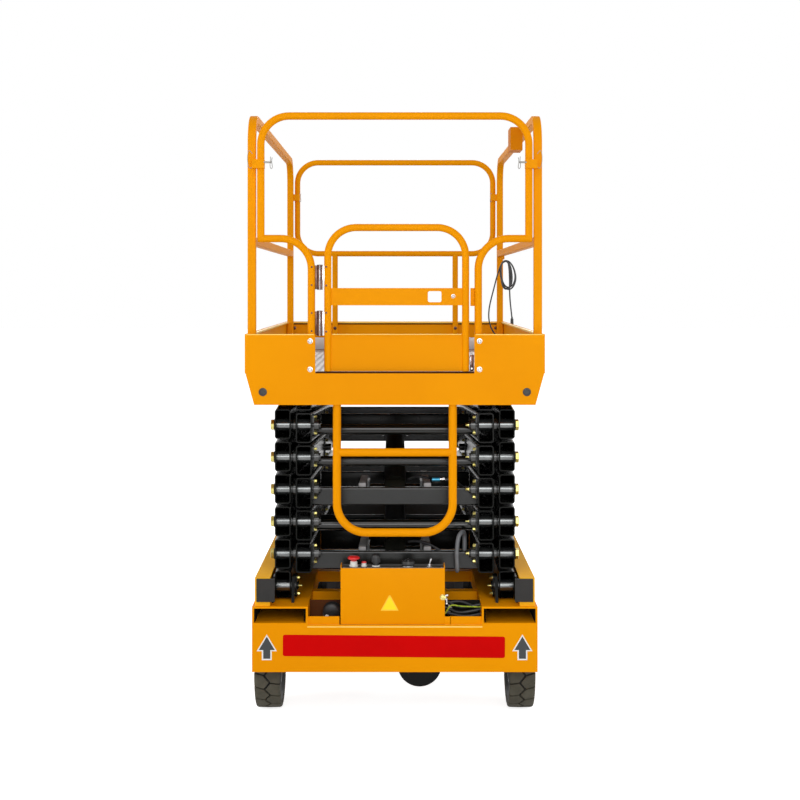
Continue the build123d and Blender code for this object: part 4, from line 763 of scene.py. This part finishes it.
# ---- bright rounded lip along the end plates' upper edge, between the pockets, its pale yellow a painted highlight ----
lipValues = {"halfX": 372, "bend": 8, "skin": 0.5}
bm = bmesh.new()
bend, skin = lipValues["bend"], lipValues["skin"]
for end in (-1, 1):
    centreY, centreZ = end * (-frontY - bend), plateTop - bend
    arcs = []
    for radius, steps in ((bend + skin, range(0, 7)), (bend, range(6, -1, -1))):
        for step in steps:
            angle = math.radians(-35 + 118 * step / 6)
            arcs.append((centreY + end * radius * math.cos(angle), centreZ + radius * math.sin(angle)))
    prism(bm, arcs, "X", -lipValues["halfX"], lipValues["halfX"])
finishPiece(bm, "plateLipHighlights", "paintShine", "chassis")
bm = bmesh.new()
slab(bm, (boxHigh.x - 0.5, boxLow.y, plateTop - 4), (boxHigh.x + 26, boxLow.y + 4, plateBox[1].z - 0.5), 0.6)
finishPiece(bm, "lipReturn", "orangePaint", "chassis")
print("control box dressed")

# ---- arm pins: nuts, washers and lock bolts at every level ----
armValues = {
    "nearY": -1040, "farY": 1055.27, "midY": 7.66, "pinLow": 580, "levelRise": 140, "levels": 6,
    "outerFace": 518, "innerFace": 359, "lockBolt": 35,
}
nearY, farY, midY, pinLow, levelRise, levels, outerFace, innerFace, lockBolt = armValues.values()


def pinHeight(level):
    return pinLow + level * levelRise


def frameZ(level, y):
    # height of an inner frame's middle line at a place along the machine
    return pinHeight(level) - levelRise / (farY - nearY) * (y - nearY)


def lockBolts(bm, face, y, z, side, spread, lowSpin):
    # two plated bolts that lock a pin, below and above it
    for end, spin in ((-1, lowSpin), (1, 0.2)):
        boltY, boltZ = y - end * spread, z + end * lockBolt
        turned(bm, (face, boltY, boltZ), (-side, 0, 0), [(0, 9), (1.6, 9), (1.8, 7), (1.8, 0)], 16)
        hexNut(bm, (face - side * 1.8, boltY, boltZ), (-side, 0, 0), 13, 10, spin=spin)


def greaseNipple(bm, x, y, z, side, wide=1):
    rows = [(0, 5.5), (5, 5.5), (6, 3.4), (10, 3.2), (11, 5), (14, 4.6), (16, 2), (16, 0)]
    turned(bm, (x, y, z), (-side, 0, 0), [(along, radius * wide) for along, radius in rows], 12)


for level in range(1, levels + 1):
    bm = bmesh.new()
    # along, height, and whether the nut is a thin one
    spots = [(midY, pinHeight(level - 0.5), True)]
    if level < levels:
        spots.append((nearY, pinHeight(level), False))
    if level > 1:
        spots.append((farY, pinHeight(level - 1), False))
    for side in (-1, 1):
        for y, z, thin in spots:
            # a dark washer and a plated nut over the pin's outer end
            face = side * (outerFace + 0.6)
            turned(bm, (face, y, z), (side, 0, 0), [(0, 26), (5, 26), (6, 25), (6, 0)], 28, mark=1)
            flats, height, spin = (34, 6, 0.3) if thin else (42, 15, 0.26)
            hexNut(bm, (face + side * 6, y, z), (side, 0, 0), flats, height, spin=spin)
            lockBolts(bm, side * (innerFace - 8), y, z, side, 2, -0.2)
            if side > 0:      # a larger one on the odd levels
                greaseNipple(bm, innerFace - 36, y, z, side, 1.7 if level % 2 else 0.9)
    finishPiece(bm, f"pinFasteners{level}", ["yellowZinc", "blackPaint"], f"inner_frame_{level}")

# bosses on the near pins, plates and rails that stiffen the inner frames
bossValues = {
    "radius": 26.2,
    # from and to, out from the middle, and whether it is a bright one, a painted highlight on the spans
    # inside the arm tubes, whose walls shade them
    "spans": ((448, 513, 1), (430, 442, 0), (361, 422, 1), (330, 351, 0)),
    "plateY": -350, "plateHalf": 356, "plateInner": 51.5,
    # level, lower and upper edge from the frame's middle line
    "plates": ((1, -58, 34), (2, -58, -34), (3, -58, 34), (5, -58, 34)),
    "railInner": 127, "railOuter": 160, "railHalf": 22, "railFar": -10,
}
radius = bossValues["radius"]
for level in range(levels):
    bm = bmesh.new()
    # the lowest pins carry outer arms only
    spans = bossValues["spans"] if level else bossValues["spans"][:2]
    for side in (-1, 1):
        for inner, outer, mark in spans:
            long = outer - inner
            rows = [(0, 12), (0, radius - 0.8), (0.8, radius)]
            rows += [(long - at, edge) for edge, at in ((radius, 0.8), (radius - 0.8, 0), (12, 0))]
            turned(bm, (side * inner, nearY, pinHeight(level)), (side, 0, 0), rows, 32, mark)
    body = f"inner_frame_{level}" if level else "outer_frame_1"
    finishPiece(bm, f"pinBosses{level}", ["bossBlack", "bossShine"], body)
for level, plateLow, plateHigh in bossValues["plates"]:
    bm = bmesh.new()
    plateY = bossValues["plateY"]
    low, high = frameZ(level, plateY) + plateLow, frameZ(level, plateY) + plateHigh
    for side in (-1, 1):
        left, right = reach(side, 0 if level == 5 else bossValues["plateInner"], bossValues["plateHalf"])
        slab(bm, (left, plateY, low), (right, plateY + 5, high), 1.2)
        slab(bm, (left, plateY, high - 5), (right, plateY + 26, high), 1.2)
    if level in (1, 3):
        ends, half = (nearY + 66, bossValues["railFar"]), bossValues["railHalf"]
        outline = [(y, frameZ(level, y) - half) for y in ends]
        outline += [(y, frameZ(level, y) + half) for y in ends[::-1]]
        for side in (-1, 1):
            left, right = reach(side, bossValues["railInner"], bossValues["railOuter"])
            prism(bm, outline, "X", left, right, 3, 2, mark=1)
    finishPiece(bm, f"framePlates{level}", ["blackPaint", "railGrey"], f"inner_frame_{level}")

# hydraulic bits: a blue valve and its hose, a grey conduit loop, hoses along the frames
bm = bmesh.new()
valveY, valveZ = -952, 1030
turned(bm, (164, valveY, valveZ), (1, 0, 0), [(0, 0), (0, 7), (1, 9), (34, 9), (35, 8), (35, 0)], 24)
turned(bm, (199, valveY, valveZ), (1, 0, 0), [(0, 6.5), (10, 6.5), (10, 8.5), (22, 8.5), (23, 0)], 6, mark=1)
slab(bm, (170, valveY - 9, valveZ - 22), (206, valveY + 9, valveZ - 7), 1.6, mark=2)
finishPiece(bm, "liftValve", ["valveBlue", "brightSteel", "blackPaint"], "inner_frame_3")
hoseRows = (
    ("valveHose", "inner_frame_3", 6, (
        (222, valveY, valveZ), (240, valveY, valveZ + 1), (268, valveY + 6, valveZ - 6),
        (292, valveY + 16, valveZ - 28), (318, valveY + 30, valveZ - 46), (350, valveY + 44, valveZ - 50))),
    ("conduitLoop", "inner_frame_1", 9.5, (
        (271, -1046, 646), (271, -1068, 648), (271, -1076, 668), (268, -1078, 716), (270, -1078, 762),
        (276, -1073, 798), (288, -1058, 815), (300, -1034, 814), (305, -1010, 794), (306, -998, 762),
        (306, -994, 726))),
    ("frameHoseLow", "inner_frame_1", 6, (
        (60, -880, 742), (96, -900, 752), (150, -930, 744), (206, -950, 712), (250, -960, 690),
        (306, -980, 700), (350, -990, 716))),
    ("frameHoseHigh", "inner_frame_3", 6, (
        (60, -880, 1022), (88, -896, 1036), (120, -920, 1040), (150, -944, 1034))),
)
for hoseName, body, radius, points in hoseRows:
    wire(hoseName, points, radius, "hoseGrey" if radius > 9 else "cableRubber", body)

# the lowest fixed pins, on the chassis brackets
bm = bmesh.new()
for side in (-1, 1):
    lockBolts(bm, side * 425, nearY, pinLow, side, 0, 0.2)
    greaseNipple(bm, side * 419, nearY, pinLow, side)
    hexNut(bm, (side * 529.5, nearY, pinLow), (side, 0, 0), 30, 9, mark=1)
finishPiece(bm, "bracketFasteners", ["yellowZinc", "brightSteel"], "chassis")
print("pins fastened")

# ---- deck: tread plate with raised bars ----
treadValues = {
    "halfX": 624, "halfY": 1190, "sheet": 1.2,
    # the bars' spacing, half length, half width and height
    "pitch": 30, "long": 12, "wide": 3.2, "rise": 1.1,
}
halfX, halfY, sheet, pitch, long, wide, rise = treadValues.values()
bm = bmesh.new()
treadZ = deckTop + sheet
slab(bm, (-halfX, -halfY, deckTop + 0.1), (halfX, halfY, treadZ))
columns, rows = (int(2 * (half - 14) / pitch) for half in (halfX, halfY))
lift = Vector((0, 0, rise))
for column in range(columns + 1):
    for row in range(rows + 1):
        turn = math.radians(45 if (column + row) % 2 else -45)
        ahead = Vector((math.cos(turn), math.sin(turn), 0))
        aside = Vector((-math.sin(turn), math.cos(turn), 0))
        foot = Vector(((column - columns / 2) * pitch, (row - rows / 2) * pitch, treadZ))
        base = [foot - ahead * long, foot - aside * wide, foot + ahead * long, foot + aside * wide]
        base += [foot - ahead * long * 0.55 + lift, foot + ahead * long * 0.55 + lift]
        corners = [bm.verts.new(point) for point in base]
        for loop in ((0, 1, 4), (1, 5, 4), (1, 2, 5), (2, 3, 5), (3, 4, 5), (3, 0, 4)):
            bm.faces.new([corners[index] for index in loop])
finishPiece(bm, "deckTreadPlate", "treadMetal", "platform", 12)
print("deck plated:", (columns + 1) * (rows + 1), "bars")

# ---- platform fittings: plugs, post bolts, hinges, latch ----
fittingValues = {
    "postXs": (-360, 360), "boltZs": (1530, 1650), "plugX": 561, "plugZ": 1434,
    "hingeX": -320, "hingeY": -1172, "hingeZs": (1726, 1922), "hingeHigh": 107,
}
bm = bmesh.new()
for postX in fittingValues["postXs"]:
    for boltZ in fittingValues["boltZs"]:
        domeBolt(bm, (postX, frontY, boltZ), (0, -1, 0), 9, 7)
for side in (-1, 1):
    for boltY in (-1147.5, 1147.5):
        for boltZ in (1525, 1640):
            domeBolt(bm, (side * 638, boltY, boltZ), (side, 0, 0), 8, 4.5)
    for boltX, boltY in ((591, 1196), (352, 1156)):
        domeBolt(bm, (side * boltX, boltY, 1641), (0, -1, 0), 8, 5, mark=1)
finishPiece(bm, "boardBolts", ["brightSteel", "hingeBrown"], "platform")
bm = bmesh.new()
for side in (-1, 1):
    for end, faceY in ((-1, frontY), (1, -frontY)):
        turned(bm, (side * fittingValues["plugX"], faceY, fittingValues["plugZ"]), (0, end, 0),
               [(0, 17.5), (2, 17.5), (3.4, 15), (3.4, 11), (1.6, 9), (1.6, 0)], 28)
finishPiece(bm, "fasciaPlugs", "plugRubber", "platform")

hingeX, hingeY, hingeHigh = (fittingValues[key] for key in ("hingeX", "hingeY", "hingeHigh"))
gateLeaf = bmesh.new()
postLeaf = bmesh.new()
for hingeZ in fittingValues["hingeZs"]:
    low, high = hingeZ - hingeHigh / 2, hingeZ + hingeHigh / 2
    # two rolled knuckle halves with the bright steel pin line between them, a painted highlight down the
    # middle of the hinge barrel
    knuckle = [(0, 0), (0, 4.6), (1.2, 6.2), (hingeHigh - 1.2, 6.2), (hingeHigh, 4.6), (hingeHigh, 0)]
    for knuckleX in (hingeX - 6.2, hingeX + 6.2):
        turned(gateLeaf, (knuckleX, hingeY - 1, low), up, knuckle, 20, mark=1)
        for rise in range(18, 91, 18):
            ring = [(0, 6.2), (0.3, 6.5), (1.5, 6.5), (1.8, 6.2)]
            turned(gateLeaf, (knuckleX, hingeY - 1, low + rise), up, ring, 20, mark=1)
    pin = [(0, 0), (0, 2), (1, 2.6), (hingeHigh + 2, 2.6), (hingeHigh + 3, 2), (hingeHigh + 3, 0)]
    turned(gateLeaf, (hingeX, hingeY - 4.4, low - 1.5), up, pin, 14)
    slab(gateLeaf, (hingeX + 8, hingeY - 4, low + 1), (-300, hingeY + 1, high - 4), 1)
    slab(postLeaf, (-343, hingeY + 1.5, low + 2), (hingeX - 12.8, hingeY + 4.5, high - 3), 0.6, mark=1)
    for leaf, screwX, fromLow, fromHigh in ((gateLeaf, -292, 18, 9), (postLeaf, -354, 20, 10)):
        for screwZ in (high - fromHigh, low + fromLow):
            domeBolt(leaf, (screwX, hingeY - 15.6, screwZ), (0, -1, 0), 3.4, 1.8, mark=1)
hingeLooks = ["brightSteel", "hingeBrown"]
finishPiece(gateLeaf, "gateHingeLeaves", hingeLooks, "entry_gate", replaced=["gate_hinges"])
finishPiece(postLeaf, "postHingeLeaves", hingeLooks, "platform")

# ---- round the gate: rear kick plate, a dark sill as painted shadow under the gate, stop bracket, folded board tops bright with a painted highlight ----
entryValues = {
    "kickHalf": 600, "kickY": 1187, "kickHigh": 1586,
    "sillHalf": 338, "sillLow": -1196, "sillHigh": -1150, "sillTop": 1518.6,
}
kickHalf, kickY, kickHigh, sillHalf, sillLow, sillHigh, sillTop = entryValues.values()
bm = bmesh.new()
slab(bm, (-kickHalf, kickY, deckTop + 3), (kickHalf, kickY + 2.5, kickHigh), 0.8)
for boltX in range(-540, 541, 180):
    domeBolt(bm, (boltX, kickY, 1565), (0, -1, 0), 4.5, 2.5)
finishPiece(bm, "rearKickPlate", "paleMetal", "platform")
# a dark ribbed sill under the gate's toe plate: painted shadow in the gap below the plate
bm = bmesh.new()
slab(bm, (-sillHalf, sillLow, deckTop + 0.2), (sillHalf, sillHigh, sillTop), 1.2)
for rib in (9, 18, 27, 36):
    ribY = sillLow + rib
    slab(bm, (-sillHalf + 4, ribY, sillTop - 0.2), (sillHalf - 4, ribY + 3, sillTop + 0.8), 0.3)
finishPiece(bm, "paintedShadowSill", "brownShade", "platform")
# the bracket that stops the gate: a foot, a post, a buffer and a spring
stopValues = {"left": 322, "right": 338, "footY": -1190, "postY": -1150, "backY": -1142, "high": 1590}
left, right, footY, postY, backY, high = stopValues.values()
bm = bmesh.new()
slab(bm, (left, postY, deckTop + 1), (right, backY, high), 1.5)
slab(bm, (left, footY, deckTop + 1), (right, backY, deckTop + 9), 1)
turned(bm, (left + 8, postY, high - 60), (0, -1, 0), [(0, 5), (3, 4.6), (4, 0)], 14, mark=1)
slab(bm, (left + 1, postY - 2.4, high - 42), (left + 5, postY + 0.2, high - 8), 0.8, mark=1)
finishPiece(bm, "stopBracket", ["hingeBrown", "brightSteel"], "platform")
boardValues = {"lipDeep": 14, "lipHigh": 11, "top": 1680, "thick": 4}
lipDeep, lipHigh, top, boardT = boardValues.values()
outer, endY = toeBox[1].x, toeBox[1].y
# folded tops of the toe boards, pale yellow as a painted highlight
bm = bmesh.new()
lipRows = [((-outer + boardT, endY - boardT - lipDeep), (outer - boardT, endY - boardT - 0.3))]
for side in (-1, 1):
    left, right = reach(side, outer - boardT - lipDeep, outer - boardT - 0.3)
    lipRows.append(((left, -endY + 6), (right, endY - boardT - lipDeep)))
for (left, near), (right, far) in lipRows:
    slab(bm, (left, near, top - lipHigh), (right, far, top - 0.4), 3.2, 3)
for left, right in ((-outer + 6, -344), (344, outer - 6)):
    slab(bm, (left, -endY - 0.5, top - 4.2), (right, -endY + boardT, top + 0.3), 1.6, 3)
finishPiece(bm, "boardLipHighlights", "paintShine", "platform")
# a dark brown line under the rear board's lip: painted shadow of the lip
bm = bmesh.new()
lipShadowY, lipShadowZ = endY - boardT, top - lipHigh
slab(bm, (-outer + 20, lipShadowY - 1.6, lipShadowZ - 7), (outer - 20, lipShadowY - 0.1, lipShadowZ - 1), 0.4)
finishPiece(bm, "lipShadowLine", "brownShade", "platform")
gateValues = {
    "lip": ((-267, -1187.2, 1676.5), (283, -1184, 1680.2)),
    "knob": (249, -1175, 1841),
    "stop": ((323, -1166, 1799), (343, -1162, 1876)),
}
# top edge of the gate's toe plate, pale yellow as a painted highlight
bm = bmesh.new()
slab(bm, *gateValues["lip"], 1.4, 3)
finishPiece(bm, "gateLipHighlight", "paintShine", "entry_gate")
bm = bmesh.new()
domeBolt(bm, gateValues["knob"], (0, -1, 0), 7, 8)
finishPiece(bm, "gateKnob", "brightSteel", "entry_gate")
bm = bmesh.new()
slab(bm, *gateValues["stop"], 1)
finishPiece(bm, "gateStop", "orangePaint", "platform")
print("platform fittings made")

# ---- rail clips: locking pins with their spring clips and lanyards ----
clipValues = {
    # across, along, up, and how far the pin reaches to each side
    "rows": ((-541, -1172, 2411, 16), (545, -1172, 2411, 16),
             (-586, 1172, 2407, 31), (590, 1172, 2407, 31)),
    "pin": 4, "wire": 1.5,
    # outward, along and up, from the pin's inner end
    "spring": ((0, -3, 24), (-1, -5, 12), (0, -5, 0), (2, -5, -12), (0, -4, -24), (-5, -4, -29),
               (-9, -4, -22), (-7, -4, -8), (-5, -4, 10), (-8, -3, 20)),
    # outward, along and up
    "lanyard": ((606, -1190, 2446), (620, -1194, 2470), (628, -1192, 2440), (626, -1186, 2398),
                (614, -1186, 2380), (602, -1190, 2400)),
}
pin = clipValues["pin"]
bm = bmesh.new()
for clipX, clipY, clipZ, half in clipValues["rows"]:
    rows = [(0, 0), (0, 3), (1, pin), (2 * half - 1, pin), (2 * half, 3), (2 * half, 0)]
    turned(bm, (clipX - half, clipY - 20, clipZ), (1, 0, 0), rows, 14)
finishPiece(bm, "clipPins", "panelMetal", "platform")
for clipIndex, (clipX, clipY, clipZ, half) in enumerate(clipValues["rows"]):
    side = -1 if clipX < 0 else 1
    end = Vector((clipX - side * (half - 4), clipY - 20, clipZ))
    spring = [end + Vector((side * out, along, rise)) for out, along, rise in clipValues["spring"]]
    wire(f"springClip{clipIndex + 1}", spring, clipValues["wire"], "panelMetal", "platform")
for side, name in ((-1, "lanyardLeft"), (1, "lanyardRight")):
    lanyard = [(side * out, along, rise) for out, along, rise in clipValues["lanyard"]]
    wire(name, lanyard, 1, "rimGrey", "platform")
print("rail clips made")
